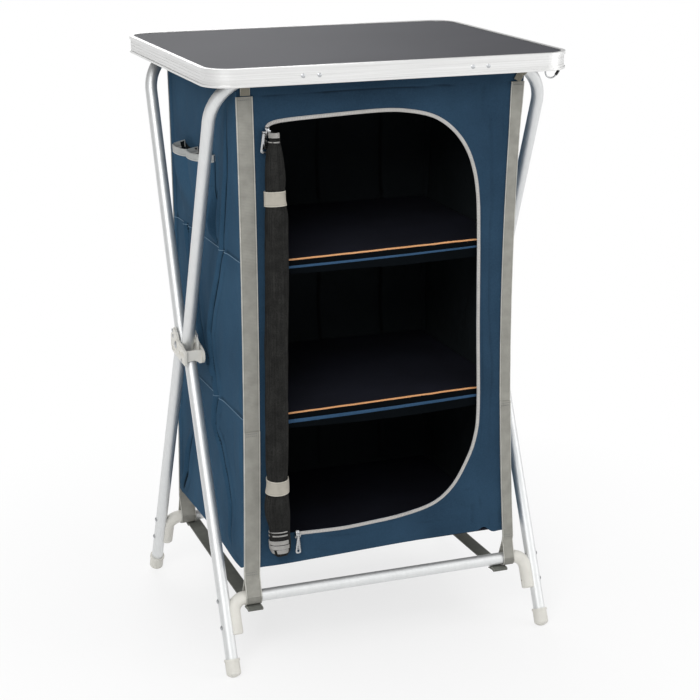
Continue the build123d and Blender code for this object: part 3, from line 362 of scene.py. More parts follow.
# Melamine laminate board: dark slate grey, matt, with a fine pebbled press finish
def pressed_laminate(name):
    material, tree, surface, here = new_material(name, roughness=0.62, specular_ior_level=0.22)
    two_tones(tree, surface, noise_of(tree, here, 5.0, 3.0), "#34353b", "#3f4047")
    pebble = noise_of(tree, here, 900.0, 2.0)
    uneven_gloss(tree, surface, pebble, 0.54, 0.70)
    relief(tree, surface, pebble, 0.00015, 0.5)
    return material


# Moulded plastic: a little uneven in gloss, with a fine spark-eroded grain
def moulded_plastic(name, dark, light, roughness):
    material, tree, surface, here = new_material(name, roughness=roughness, ior=1.49)
    clouds = noise_of(tree, here, 45.0, 4.0)
    two_tones(tree, surface, clouds, dark, light)
    uneven_gloss(tree, surface, clouds, roughness - 0.08, roughness + 0.08)
    relief(tree, surface, noise_of(tree, here, 1500.0, 2.0), 0.00005, 0.4)
    return material


# Zinc or nickel plated steel: bright, with tumbling marks
def plated_steel(name, dark, light, roughness):
    material, tree, surface, here = new_material(name, metallic=1.0, roughness=roughness)
    marks = noise_of(tree, here, 700.0, 4.0)
    two_tones(tree, surface, marks, dark, light)
    uneven_gloss(tree, surface, marks, roughness - 0.08, roughness + 0.12)
    return material


steel_blue = woven_polyester("steel blue 600D polyester", "#28455c", "#36566f")
navy = woven_polyester("navy 600D polyester", "#203649", "#2c465c")
# Painted shade: the near-black inner side stands in for the dark inside of the cabinet, kept a little above
# black for the faint light that reaches in
painted_shade_lining = woven_polyester("dark lining painted as interior shade", "#14191b", "#1f2427", 0.0012)
board_sleeve = woven_polyester("blue black board sleeve", "#14151c", "#20222d", 0.0010)
# Painted shade: the lip is near-black, standing in for the dark below each shelf's front edge
lip_cloth = woven_polyester("lip cloth painted as shade", "#05080a", "#0a0e12", 0.0015, 0.03)
lip_tape = woven_polyester("blue seam tape", "#28435c", "#3a5878", 0.0008)
orange_cord = woven_polyester("orange polyester piping", "#cc9262", "#e6ae7e", 0.0003)
pale_webbing = woven_webbing("pale grey polyester webbing", "#97968f", "#bdbcb5", "#7a7974")
tab_webbing = woven_webbing("beige grey polyester webbing", "#938f82", "#aba89c", "#77746a")
beige_webbing = woven_webbing("beige cotton tape", "#b3aea3", "#c6c1b6", "#9c978c")
base_webbing = woven_webbing("mid grey polyester webbing", "#747670", "#8f908a", "#5e5f5a")
binding_tape = woven_webbing("pocket binding tape", "#c3c5c3", "#d6d7d4", "#a6a8a6")
zip_tape = woven_webbing("pale zip tape", "#b0aeab", "#c4c3c1", "#97958f")
mesh_cloth = rolled_mesh("charcoal mesh and cloth roll")
coil_nylon = moulded_plastic("pale nylon zip coil", "#b4b1ad", "#cfcdca", 0.5)
seam_thread = moulded_plastic("pale blue sewing thread", "#55738a", "#7690a4", 0.8)
thread = moulded_plastic("grey sewing thread", "#6d6f6e", "#868886", 0.8)
nickel = plated_steel("nickel plated zip metal", "#9b9d9f", "#d4d5d6", 0.25)

FINISHES = {
    "board_laminate": pressed_laminate("slate melamine laminate"),
    "edge_aluminium": anodised_aluminium(
        "grooved anodised aluminium rim", "#cbcbc9", "#f8f8f8", 0.36, (0.02, 0.02, 2.2)
    ),
    "tube_aluminium": anodised_aluminium("satin anodised aluminium tube", "#d6d8d8", "#e6e7e7", 0.48),
    "cream_plastic": moulded_plastic("off white moulded polypropylene", "#d2d0c8", "#e3e1da", 0.46),
    "clip_plastic": moulded_plastic("black moulded nylon", "#141415", "#1f1f21", 0.5),
    "fastener_steel": plated_steel("zinc plated steel", "#a4a6a8", "#cfd1d3", 0.40),
    "hook_wire": nickel,
    "hook_sleeve": moulded_plastic("black dipped vinyl", "#0a0a0b", "#161617", 0.35),
    "blue_cloth": steel_blue,
    "navy_cloth": navy,
    "black_cloth": board_sleeve,
    "lip_cloth": lip_cloth,
    "orange_piping": orange_cord,
    "door_mesh": mesh_cloth,
    "beige_webbing": beige_webbing,
    "pale_webbing": pale_webbing,
    "grey_webbing": base_webbing,
    "zip_coil": coil_nylon,
    "zip_metal": nickel,
}

for subpart in frame["record"]["subparts"]:
    node = frame["nodes"][subpart["node"]]
    node.data.materials.clear()
    node.data.materials.append(FINISHES[subpart["material_slot"]])


# Ways of making pieces
def only(piece):
    """Select one piece and make it the active one."""
    bpy.ops.object.select_all(action="DESELECT")
    piece.select_set(True)
    bpy.context.view_layer.objects.active = piece


def added(name, operator, **settings):
    """Object that an operator adds, under its own name."""
    bpy.ops.object.select_all(action="DESELECT")
    operator(**settings)
    piece = bpy.context.object
    piece.name = piece.data.name = name
    return piece


def sheet_of(name, columns, rows, place):
    """Grid of cells with each corner moved to its place at (u, v)."""
    cells = {"x_subdivisions": columns, "y_subdivisions": rows}
    piece = added(name, bpy.ops.mesh.primitive_grid_add, size=1, calc_uvs=True, **cells)
    for vertex in piece.data.vertices:
        vertex.co = place(vertex.co.x + 0.5, vertex.co.y + 0.5)
    return piece


def lay_texture(piece, place):
    """Move the texture coordinates of a sheet, each from its place on the grid."""
    for loop in piece.data.uv_layers.active.data:
        loop.uv = place(*loop.uv)


def weld(piece, distance=0.00002):
    """Close the seam of a sheet that meets itself, and point its faces outwards."""
    only(piece)
    bpy.ops.object.mode_set(mode="EDIT")
    bpy.ops.mesh.select_all(action="SELECT")
    bpy.ops.mesh.remove_doubles(threshold=distance)
    bpy.ops.mesh.normals_make_consistent(inside=False)
    bpy.ops.object.mode_set(mode="OBJECT")


def modify(piece, kind, **settings):
    """Add a modifier and apply it."""
    only(piece)
    modifier = piece.modifiers.new("Shape", kind)
    for name, value in settings.items():
        setattr(modifier, name, value)
    bpy.ops.object.modifier_apply(modifier=modifier.name)


def thicken(piece, thickness, offset=0, **settings):
    """Make a sheet as thick as its cloth or webbing."""
    modify(piece, "SOLIDIFY", thickness=thickness, offset=offset, **settings)


def lined(piece, cloth, thickness=CLOTH):
    """Thicken a sheet inwards, with a near-black inner side that is painted shade for the dark inside of the
    cabinet.
    """
    piece.data.materials.append(cloth)
    piece.data.materials.append(painted_shade_lining)
    thicken(piece, thickness, -1, material_offset=1, material_offset_rim=0)


def dress(piece, material, nodes=(), body="cabinet", folds=True):
    """Give a finished piece its material and body, and hide the parts it stands for. With folds set, it gets
    its own copy of its mesh.
    """
    if material is not None:
        piece.data.materials.clear()
        piece.data.materials.append(material)
    only(piece)
    bpy.ops.object.shade_smooth_by_angle(angle=SMOOTH_UP_TO)
    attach(piece, body)
    if nodes:
        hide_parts(*nodes)
    if folds:
        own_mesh(piece)
    return piece


def ease(value, low, high):
    """0 below low, 1 above high, smooth between them."""
    share = min(max((value - low) / (high - low), 0.0), 1.0)
    return share * share * (3 - 2 * share)


def hump(value, middle, width):
    """Rounded ridge, 1 at its middle."""
    return exp(-(((value - middle) / width) ** 2))


def ripple(a, b, seed):
    """Smooth unevenness between -1 and 1."""
    return noise.noise(Vector((a, b, seed)))


def sag(z):
    """Share of a wall's bow at a height."""
    return 1 - ((z - MIDDLE) / (ROOF - MIDDLE)) ** 2


# Walls of the cabinet
def ridge_height(z):
    """Height of the upright ridges that folding has left in the walls."""
    return 0.001 + (FOLD_DEPTH - 0.001) * sag(z)


def bay(z):
    """1 between the seams, 0 at each seam and edge."""
    return 1 - max(hump(z, seam, 0.014) for seam in SEAMS + (FLOOR, ROOF))


def seam_pinch(z):
    """Shallow valley where the shelves' seams draw the cloth in."""
    return sum(hump(z, seam, 0.0035) for seam in SEAMS) * 0.0009


def crease(y, z, line):
    """Valley along a line of the left wall, with the cloth pushed up behind it."""
    if not line[-1][0] < z < line[0][0]:
        return 0.0
    n = next(n for n in range(1, len(line)) if z >= line[n][0])
    (high, first, strong), (low, second, weak) = line[n - 1], line[n]
    share = (high - z) / (high - low)
    off = y - first - share * (second - first)
    depth = strong + share * (weak - strong)
    banks = 1.1 * hump(off, 0.010, 0.008) + 0.5 * hump(off, -0.011, 0.009)
    return depth * (banks - 1.3 * hump(off, 0.0, 0.0042))


def side_face(side, y, z):
    """Distance of a side wall's cloth from the middle plane, with its ridges, creases and soft unevenness."""
    lean = 0.006 * ripple(z * 7, side, 3.1)
    folds = [fold for fold in SIDE_FOLDS if side > 0 or fold > 0]
    out = sum(ridge_height(z) * hump(y + lean, fold, FOLD_WIDTH) for fold in folds)
    if side < 0:
        out += sum(crease(y, z, line) for line in CREASES) * (1 - ease(abs(y), 0.178, 0.19))
    pockets = ease(y, -0.105, -0.090) * (1 - ease(y, 0.147, 0.162))
    pockets *= ease(z, 0.655, 0.676) * (1 - ease(z, 0.815, 0.84))
    free = 1 - pockets if side < 0 else 1.0
    free *= 1 - ease(abs(y), 0.176, 0.19)
    slow = max(ripple(y * 9, z * 5, 1.7 * side) + 0.25, 0.0)
    quick = max(ripple(y * 30 + z * 8, z * 16, 5.3 * side), 0.0)
    slack = hump(z, FLOOR + 0.04, 0.03) * max(ripple(y * 22, z * 12, 8.2 * side), 0.0)
    out += free * bay(z) * (0.0052 * slow + 0.0022 * quick) + free * 0.004 * slack
    out -= seam_pinch(z) * (0.4 if pockets > 0 else 1.0)
    return SIDE_FACE - BOW[side] * sag(z) + out


def side_cloth(side, side_name):
    """Side wall, with the pale thread of its two shelf seams."""

    def place(u, v):
        y = side * (u - 0.5) * 2 * FRONT_FACE
        low = FLOOR - 0.009 * ease(-y, -0.02, 0.15) + 0.007 * ease(-y, 0.172, 0.192)
        z = low + v * (ROOF - low)
        return Vector((side * side_face(side, y, z), y, z))

    wall = sheet_of(f"side_cloth_{side_name}", 190, 190, place)
    lined(wall, steel_blue)
    for n, seam in enumerate(SEAMS):

        def thread_place(u, v):
            y = side * (u - 0.5) * 2 * (FRONT_FACE - 0.004)
            z = seam - 0.0035 + (v - 0.5) * 0.0010
            return Vector((side * (side_face(side, y, z) + 0.0003), y, z))

        row = sheet_of(f"seam_thread_{side_name}_{n + 1}", 190, 1, thread_place)
        thicken(row, 0.0003)
        dress(row, seam_thread)
    return dress(wall, None, [f"side_panel_{side_name}"])


left_wall = side_cloth(-1, "left")
right_wall = side_cloth(1, "right")


def back_place(u, v):
    z = FLOOR + v * (ROOF - FLOOR)
    left = -CORNER + BOW[-1] * sag(z)
    right = CORNER - BOW[1] * sag(z)
    x = right + u * (left - right)
    lean = 0.006 * ripple(z * 6, 0, 4.4)
    out = sum(ridge_height(z) * hump(x + lean, fold, FOLD_WIDTH) for fold in BACK_FOLDS)
    free = ease(u, 0.14, 0.2) * (1 - ease(u, 0.8, 0.86))
    out += free * bay(z) * 0.0045 * max(ripple(x * 8, z * 5, 9.9) + 0.2, 0.0)
    return Vector((x, FRONT_FACE - BACK_BOW * sag(z) + out - seam_pinch(z), z))


back_wall = sheet_of("back_cloth", 120, 150, back_place)
lined(back_wall, steel_blue)
dress(back_wall, None, ["back_panel"])


# Front cloth: rings of cells between the door opening and the outer edge
def between(before, first, second, after, t):
    """Value on a smooth curve from the first to the second of four."""
    bend = 2 * before - 5 * first + 4 * second - after
    twist = 3 * first - before - 3 * second + after
    return 0.5 * (2 * first + (second - before) * t + bend * t * t + twist * t * t * t)


def through(points, steps):
    """Smooth line through points, in a few steps from each to the next."""
    line = []
    for n in range(len(points) - 1):
        four = [points[min(max(n + k, 0), len(points) - 1)] for k in (-1, 0, 1, 2)]
        for step in range(steps):
            line.append(tuple(between(*values, step / steps) for values in zip(*four)))
    return line + [points[-1]]


door_line = through(DOOR_LINE, 12)
(hinge_x, hinge_top), (_, hinge_foot) = DOOR_LINE[0], DOOR_LINE[-1]
hinge_side = [(hinge_x, hinge_foot + (hinge_top - hinge_foot) * n / 80) for n in range(81)]
door_rays = sorted(
    (atan2(z - DOOR_MIDDLE[1], x - DOOR_MIDDLE[0]), hypot(x - DOOR_MIDDLE[0], z - DOOR_MIDDLE[1]))
    for x, z in door_line + hinge_side
)
door_angles = [angle for angle, _ in door_rays]


def door_radius(angle):
    """Distance from the door's middle to its outline in a direction."""
    n = bisect(door_angles, angle) % len(door_rays)
    (first, near), (second, far) = door_rays[n - 1], door_rays[n]
    span = (second - first) % (2 * pi)
    share = ((angle - first) % (2 * pi)) / span if span > 0 else 0.0
    return near + share * (far - near)


def door_reach(x, z):
    """Distance outside the door's outline, less than 0 inside it."""
    x, z = x - DOOR_MIDDLE[0], z - DOOR_MIDDLE[1]
    return hypot(x, z) - door_radius(atan2(z, x))


def hem(x):
    """Height of the bottom hem, which rises to the right, with a notch near its right end."""
    notch = max(1 - abs(x - 0.185) / 0.016, 0.0)
    rising = 0.1625 + 0.008 * ease(x, -0.21, 0.12) - 0.005 * ease(x, 0.185, 0.205)
    return rising + 0.006 * notch * notch * (3 - 2 * notch)


def outer_edge(share):
    """Point on the front cloth's outer edge, clockwise from its top left corner."""
    sides = ((0.0, 0.22), (0.22, 0.5), (0.5, 0.72), (0.72, 1.0))
    for n, (start, end) in enumerate(sides):
        if share <= end:
            break
    t = (share - start) / (end - start)
    if n == 0:
        return -CORNER + t * 2 * CORNER, FRONT_TOP
    if n == 1:
        z = FRONT_TOP + t * (hem(CORNER) - FRONT_TOP)
        return CORNER - BOW[1] * max(sag(z), 0.0), z
    if n == 2:
        x = CORNER - t * 2 * CORNER
        return x, hem(x)
    z = hem(-CORNER) + t * (FRONT_TOP - hem(-CORNER))
    return -CORNER + BOW[-1] * max(sag(z), 0.0), z


def front_place(u, v):
    x_out, z_out = outer_edge(u)
    x_mid, z_mid = DOOR_MIDDLE
    whole = hypot(x_out - x_mid, z_out - z_mid)
    low = (door_radius(atan2(z_out - z_mid, x_out - x_mid)) - ZIP_WIDTH / 2) / whole
    share = low + v * (1 - low)
    x = x_mid + share * (x_out - x_mid)
    z = z_mid + share * (z_out - z_mid)
    strap_edge = 0.215 - BOW[1] * sag(z)
    under_straps = ease(x, strap_edge - 0.012, strap_edge) + 1 - ease(x, -0.207, -0.190)
    free = (1 - min(under_straps, 1.0)) * ease(door_reach(x, z), 0.004, 0.018)
    free *= 1 - ease(z, 0.930, 0.936)
    upright = max(ripple(x * 60, z * 7, 2.2) + 0.1, 0.0)
    level = max(ripple(x * 12, z * 45, 7.7), 0.0)
    beside = ease(x, 0.165, 0.178)
    out = free * (0.0052 * upright * beside + 0.0030 * level * (1 - beside))
    out += 0.0010 * ease(z, 0.9312, 0.9335) * (1 - ease(abs(x), 0.20, 0.21))
    out -= 0.0008 * hump(z, 0.9303, 0.0013)
    return Vector((x, -FRONT_FACE - out, z))


front_wall = sheet_of("front_cloth", 560, 18, front_place)
weld(front_wall)
lined(front_wall, navy)
dress(front_wall, None, ["front_panel"])


def roof_place(u, v):
    x, y = (u - 0.5) * 2 * CORNER, (v - 0.5) * 0.3814
    hollow = (1 - (2 * u - 1) ** 4) * (1 - (2 * v - 1) ** 4)
    return Vector((x, y, ROOF - hollow * (0.0022 + 0.0015 * ripple(x * 9, y * 9, 6.6))))


roof = sheet_of("roof_cloth", 70, 60, roof_place)
lined(roof, navy)
dress(roof, None, ["roof_panel"])


# Boards in their sleeves, with a loose lip of cloth and piping along the front of each shelf
def front_fall(x, height):
    """How far a shelf's front edge hangs down towards the open side of the door."""
    return 0.0 if height == FLOOR else 0.0200 * max(0.16 - x, 0.0)


def sleeve(name, node, height):
    low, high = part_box(node)

    def place(u, v):
        x = low[0] + u * (high[0] - low[0])
        y = low[1] + v * (high[1] - low[1])
        edge = min(u, 1 - u, v, 1 - v)
        puff = 0.0007 * ripple(x * 14, y * 14, height * 9) * ease(edge, 0.0, 0.06)
        fall = front_fall(x, height) * (1 - v) ** 1.5
        return Vector((x, y, high[2] - 0.0008 + puff - 0.0012 * (1 - ease(edge, 0.0, 0.012)) - fall))

    board = sheet_of(name, 90, 70, place)
    thicken(board, BOARD - 0.0022, -1)
    modify(board, "BEVEL", width=0.0009, segments=2, limit_method="ANGLE", angle_limit=radians(60))
    return dress(board, board_sleeve, [node])


sleeve("floor_sleeve", "floor_board", FLOOR)
for place_name, height in SHELVES.items():
    sleeve(f"shelf_sleeve_{place_name}", f"shelf_board_{place_name}", height)


def lip(place_name, height, droop, seam, seam_width):
    """Loose strip of cloth that hangs from a shelf's front edge, with a blue seam tape along it. The strip's
    near-black colour is painted shade for the dark below the shelf's edge.
    """

    def place(u, v):
        x = SHELF_LEFT + u * SHELF_WIDTH
        wave = ripple(x * 16, height * 10, 2.9)
        low = height - LIP_DROP - droop * (1 - (2 * u - 1) ** 2) - 0.0015 * wave
        top = height + BOARD / 2 - front_fall(x, height)
        z = low + v * (top - low)
        billow = (1 - v) * (0.0010 + 0.0022 * max(ripple(x * 20, z * 9, 4.5), 0.0))
        return Vector((x, -SHELF_FRONT - CLOTH / 2 - billow, z))

    def along_seam(u, v):
        point = place(u, 0.6)
        depth = seam * (0.85 + 0.15 * sin(pi * u)) + seam_width * (0.5 - v) * (1 - 0.35 * u)
        z = height + BOARD / 2 - front_fall(point.x, height) - depth
        return Vector((point.x, point.y - 0.0009 - 0.0006 * sin(pi * v), z))

    strip = sheet_of(f"shelf_lip_{place_name}", 150, 10, place)
    thicken(strip, CLOTH)
    dress(strip, lip_cloth, ["shelf_lips"])
    tape = sheet_of(f"shelf_seam_{place_name}", 150, 6, along_seam)
    thicken(tape, 0.0008)
    dress(tape, lip_tape, ["shelf_lips"])


def tube_along(name, path, radius, sides=10):
    """Thin round cord along points."""
    count = len(path) - 1

    def place(u, v):
        n = min(int(round(v * count)), count)
        here = path[n]
        ahead = (path[min(n + 1, count)] - path[max(n - 1, 0)]).normalized()
        side = ahead.cross(Vector((0, 0, 1))).normalized()
        up = side.cross(ahead)
        angle = 2 * pi * u
        return here + radius * (cos(angle) * side + sin(angle) * up)

    cord = sheet_of(name, sides, count, place)
    weld(cord)
    only(cord)
    bpy.ops.object.mode_set(mode="EDIT")
    bpy.ops.mesh.select_all(action="DESELECT")
    bpy.ops.mesh.select_non_manifold()
    bpy.ops.mesh.edge_face_add()
    bpy.ops.object.mode_set(mode="OBJECT")
    return cord


for place_name, height in SHELVES.items():
    lip(place_name, height, *LIP_SHAPE[place_name])
    top = height + BOARD / 2 + 0.0012
    route = []
    for n in range(121):
        x = SHELF_LEFT + SHELF_WIDTH * n / 120
        z = top + 0.0004 * ripple(n * 0.2, height, 1.1) - front_fall(x, height)
        route.append(Vector((x, -SHELF_FRONT - 0.0006, z)))
    cord = tube_along(f"piping_{place_name}", route, 0.0015)
    dress(cord, orange_cord, ["shelf_piping"])


# Zip round the door opening
def evenly(points, step):
    """Points at one spacing along a route, each with its distance along it."""
    spots = []
    travelled, due = 0.0, 0.0
    for first, second in zip(points, points[1:]):
        length = hypot(second[0] - first[0], second[1] - first[1])
        while length > 0 and due <= travelled + length:
            t = (due - travelled) / length
            spots.append((first[0] + t * (second[0] - first[0]), first[1] + t * (second[1] - first[1])))
            due += step
        travelled += length
    return spots


zip_corners = [(hinge_x, ZIP_START), (hinge_x, 0.880)]
zip_corners += [p for p in door_line if p[0] > hinge_x + 0.0015][:-1]
zip_corners = [p for p in zip_corners if p[1] > MIDDLE or p[0] > ZIP_END]
zip_route = evenly(zip_corners, 0.004)
tooth_route = evenly(zip_corners, TOOTH_PITCH)


def tape_place(u, v):
    n = min(int(round(v * (len(zip_route) - 1))), len(zip_route) - 1)
    x, z = zip_route[n]
    x_after, z_after = zip_route[min(n + 1, len(zip_route) - 1)]
    x_before, z_before = zip_route[max(n - 1, 0)]
    length = hypot(x_after - x_before, z_after - z_before)
    offset = (u - 0.5) * ZIP_WIDTH / length
    return Vector((x + (z_after - z_before) * offset, -ZIP_FACE - 0.0004, z - (x_after - x_before) * offset))


tape = sheet_of("zip_tape", 6, len(zip_route) - 1, tape_place)
weld(tape)
thicken(tape, 0.0007)
dress(tape, zip_tape, ["zip_track"])


def zip_coil():
    """Teeth of the open zip, one small block copied along the tape."""
    coil = added("zip_coil", bpy.ops.mesh.primitive_cube_add, size=1)
    bpy.ops.object.mode_set(mode="EDIT")
    bpy.ops.mesh.bevel(offset=0.2, segments=1)
    bpy.ops.object.mode_set(mode="OBJECT")
    corners = [vertex.co.copy() for vertex in coil.data.vertices]
    faces = [tuple(face.vertices) for face in coil.data.polygons]
    points, cells = [], []
    for before, (x, z), after in zip(tooth_route, tooth_route[1:], tooth_route[2:]):
        ahead = Vector((after[0] - before[0], 0, after[1] - before[1])).normalized()
        across = Vector((ahead.z, 0, -ahead.x))
        middle = Vector((x, -ZIP_FACE - 0.0011, z))
        cells += [tuple(index + len(points) for index in face) for face in faces]
        for c in corners:
            point = middle + across * (c.x * TOOTH_WIDTH) + ahead * (c.y * TOOTH_LENGTH)
            points.append(point + Vector((0, c.z * TOOTH_RISE, 0)))
    coil.data.clear_geometry()
    coil.data.from_pydata(points, [], cells)
    weld(coil, 0.000001)
    return coil


dress(zip_coil(), coil_nylon, ["zip_track"])

# Rolled mesh door: a loose flattened roll whose last turn ends in a step, its zip tape showing at both ends
roll_low, roll_high = ROLL_EDGES[0][0], ROLL_EDGES[-1][0]
roll_sides = through(ROLL_EDGES, 8)
roll_heights = [row[0] for row in roll_sides]


def roll_edges(z):
    """Left and right edge of the roll at a height."""
    n = min(max(bisect(roll_heights, z), 1), len(roll_sides) - 1)
    first, second = roll_sides[n - 1], roll_sides[n]
    share = min(max((z - first[0]) / (second[0] - first[0]), 0.0), 1.0)
    return first[1] + share * (second[1] - first[1]), first[2] + share * (second[2] - first[2])


def roll_middle(z):
    return sum(roll_edges(z)) / 2


def roll_half(z, axis):
    """Half width or depth of the roll at a height, drawn in by its ties."""
    left, right = roll_edges(z)
    full = ROLL_HALF_DEPTH if axis else (right - left) / 2
    return full - 0.0010 * max(hump(z, tie, 0.020) for tie in TIES)


def roll_point(angle, z, share=1.0):
    """Point on the roll, at a share of its radius."""
    held = max(hump(z, tie, 0.02) for tie in TIES)
    fold = 0.0010 * sin(3 * angle + 1.2 + z * 9) + 0.0011 * ripple(3 * cos(angle), 3 * sin(angle), z * 14)
    fold += 0.0006 * ripple(9 * cos(angle), 9 * sin(angle), z * 34)
    turned = (angle + 0.9) % (2 * pi)
    step = 0.0016 * ease(turned, 0.0, 0.22) - 0.0016 * (turned / (2 * pi))
    loose = (fold * 1.2 + step) * (1 - 0.85 * held) - 0.0004
    x = (roll_half(z, 0) + loose) * cos(angle) * share
    y = (roll_half(z, 1) + loose) * sin(angle) * share
    return Vector((roll_middle(z) + x, -ROLL_DEPTH + y, z))


def roll_place(u, v):
    angle = 2 * pi * u
    cap = 0.05
    if v < cap or v > 1 - cap:
        share = (v if v < cap else 1 - v) / cap
        turns = 0.0016 * sin(angle + share * 6 * pi)
        end, inwards = (roll_low, 1) if v < cap else (roll_high, -1)
        return roll_point(angle, end + inwards * (0.0024 + turns) * (1 - share**6), max(share, 0.02))
    return roll_point(angle, roll_low + (v - cap) / (1 - 2 * cap) * (roll_high - roll_low))


roll = sheet_of("mesh_roll", 72, 240, roll_place)
weld(roll)
dress(roll, mesh_cloth, ["mesh_door_roll"])


def band_round_roll(name, z, height, gap, thickness, tilt=0.0):
    """Closed band round the roll."""

    def place(u, v):
        angle = 2 * pi * u
        across = (v - 0.5) * height
        here = z + across + tilt * sin(angle)
        out = gap + thickness / 2
        x = (roll_half(here, 0) + out) * cos(angle)
        y = (roll_half(here, 1) + out) * sin(angle)
        return Vector((roll_middle(here) + x, -ROLL_DEPTH + y, here))

    band = sheet_of(name, 64, 6, place)
    lay_texture(band, lambda u, v: (v, u * 0.1 / height))
    weld(band)
    thicken(band, thickness)
    return band


for n, height in enumerate(TIES):
    tie = band_round_roll(f"door_tie_{n + 1}", height, TIE_HEIGHT, 0.0008, 0.0012, (0.0032, -0.0012)[n])
    dress(tie, beige_webbing, ["door_ties"])

for n, (height, width, gap) in enumerate(ROLL_TAPES):
    turn = band_round_roll(f"roll_tape_{n + 1}", height, width, gap, 0.0010, -0.0016)
    dress(turn, zip_tape)


def ribbon(name, path, half_width, thickness, material, nodes, across=8):
    """Flat webbing along points. Half width is a vector, or one worked out from the point."""
    count = len(path) - 1
    wide = half_width if callable(half_width) else (lambda point: half_width)
    length = sum((b - a).length for a, b in zip(path, path[1:]))

    def place(u, v):
        point = path[min(int(round(v * count)), count)]
        return point + wide(point) * (2 * u - 1)

    piece = sheet_of(name, across, count, place)
    scale = length / (2 * wide(path[0]).length)
    lay_texture(piece, lambda u, v: (u, v * scale))
    thicken(piece, thickness)
    weld(piece, 0.000001)
    return dress(piece, material, nodes)


# Ties are sewn to the front cloth by a flat tail behind the roll
for n, height in enumerate(TIES):
    start = roll_middle(height) + 0.010
    tail = [Vector((start - 0.016 * t / 8, -FRONT_FACE - 0.0009, height)) for t in range(9)]
    upright = Vector((0, 0, TIE_HEIGHT / 2))
    ribbon(f"door_tie_tail_{n + 1}", tail, upright, 0.0010, beige_webbing, ["door_ties"])


# Corner straps, each one length of webbing from the top, round the rail and back up
def strap_route(back):
    """Middle line of a corner strap in the YZ plane."""
    inner = -FRONT_FACE - 0.0003 - STRAP / 2
    outer = inner - STRAP - 0.0002
    turn = RAIL_WRAP + STRAP / 2
    down = [(inner, STRAP_TOP - n * (STRAP_TOP - STRAP_JOIN) / 110) for n in range(111)]
    angles = [radians(a) for a in range(20, -201, -8)]
    loop = [(-RAIL_REACH + turn * cos(a), RAIL_HEIGHT + turn * sin(a)) for a in angles]
    up = [(outer, STRAP_JOIN + n * (STRAP_DOUBLE - STRAP_JOIN) / 40) for n in range(41)]
    wave = [(y - 0.0005 * max(ripple(z * 25, 1.0, 3.3), 0.0), z) for y, z in down]
    return [Vector((0, back * -y, z)) for y, z in wave + loop + up]


def strap_middle(side, z):
    """X of a corner strap's middle line, which follows the bowed edge of the cabinet."""
    bow = BOW[side] * sag(z) if z > STRAP_JOIN else 0.0
    return side * (SIDE_FACE + 0.001 - bow - STRAP_WIDTH[side] / 2)


def strap_half(back, side):
    """Half width of a strap; the right ones turn round their corner below the top and so show less."""

    def half(point):
        shown = STRAP_WIDTH[side] / 2 - (0.0017 * ease(STRAP_TOP - point.z, 0.01, 0.09) if side > 0 else 0.0)
        return Vector((-back * shown, 0, 0))

    return half


# Each corner of the cabinet: -1 is the front or the left, 1 the rear or the right
CORNERS = [
    (back, depth_name, side, side_name)
    for back, depth_name in ((-1, "front"), (1, "rear"))
    for side, side_name in ((-1, "left"), (1, "right"))
]
for back, depth_name, side, side_name in CORNERS:
    route = [Vector((strap_middle(side, p.z), p.y, p.z)) for p in strap_route(back)]
    name = f"corner_strap_{depth_name}_{side_name}"
    ribbon(f"{name}_webbing", route, strap_half(back, side), STRAP, pale_webbing, [name])


# Rows of stitching across the corner straps. A stitch is a low block, narrower at its top
STITCH_PITCH = 0.0032
STITCH_LENGTH = 0.0022
STITCH_HALF = 0.0004
STITCH_BASE = ((0, -1, 0), (1, -1, 0), (1, 1, 0), (0, 1, 0))
STITCH_TOP = ((0.15, -0.6, 1), (0.85, -0.6, 1), (0.85, 0.6, 1), (0.15, 0.6, 1))
STITCH_FACES = ((4, 5, 6, 7), (0, 1, 5, 4), (1, 2, 6, 5), (2, 3, 7, 6), (3, 0, 4, 7), (3, 2, 1, 0))


def stitch_rows(name, rows):
    """Rows of short stitches. Each row is its middle, its half length and the way it faces."""
    points, faces = [], []
    for middle, half, out in rows:
        along = half.normalized()
        up = out.cross(along)
        for n in range(int(2 * half.length / STITCH_PITCH)):
            start = middle - half + along * (STITCH_PITCH * n + 0.0006)
            faces += [tuple(len(points) + i for i in face) for face in STITCH_FACES]
            for a, b, c in STITCH_BASE + STITCH_TOP:
                point = start + along * (STITCH_LENGTH * a)
                points.append(point + up * (STITCH_HALF * b) + out * (STITCH_HALF * c))
    piece = added(name, bpy.ops.mesh.primitive_plane_add, size=0.001)
    piece.data.clear_geometry()
    piece.data.from_pydata(points, [], faces)
    weld(piece, 0.0000001)
    return dress(piece, thread)


double_front = FRONT_FACE + 0.0003 + 2 * STRAP + 0.0002
STITCHED = (
    STRAP_DOUBLE - 0.003,
    STRAP_DOUBLE - 0.007,
    STRAP_JOIN + 0.006,
    STRAP_JOIN + 0.010,
    STRAP_TOP - 0.005,
)
rows = []
for back, _, side, _ in CORNERS:
    for z in STITCHED:
        front = double_front - (STRAP if z > STRAP_DOUBLE else 0.0)
        half = Vector((STRAP_WIDTH[side] / 2 - 0.003, 0, 0))
        rows.append((Vector((strap_middle(side, z), back * front, z)), half, Vector((0, back, 0))))
stitch_rows("strap_stitches", rows)

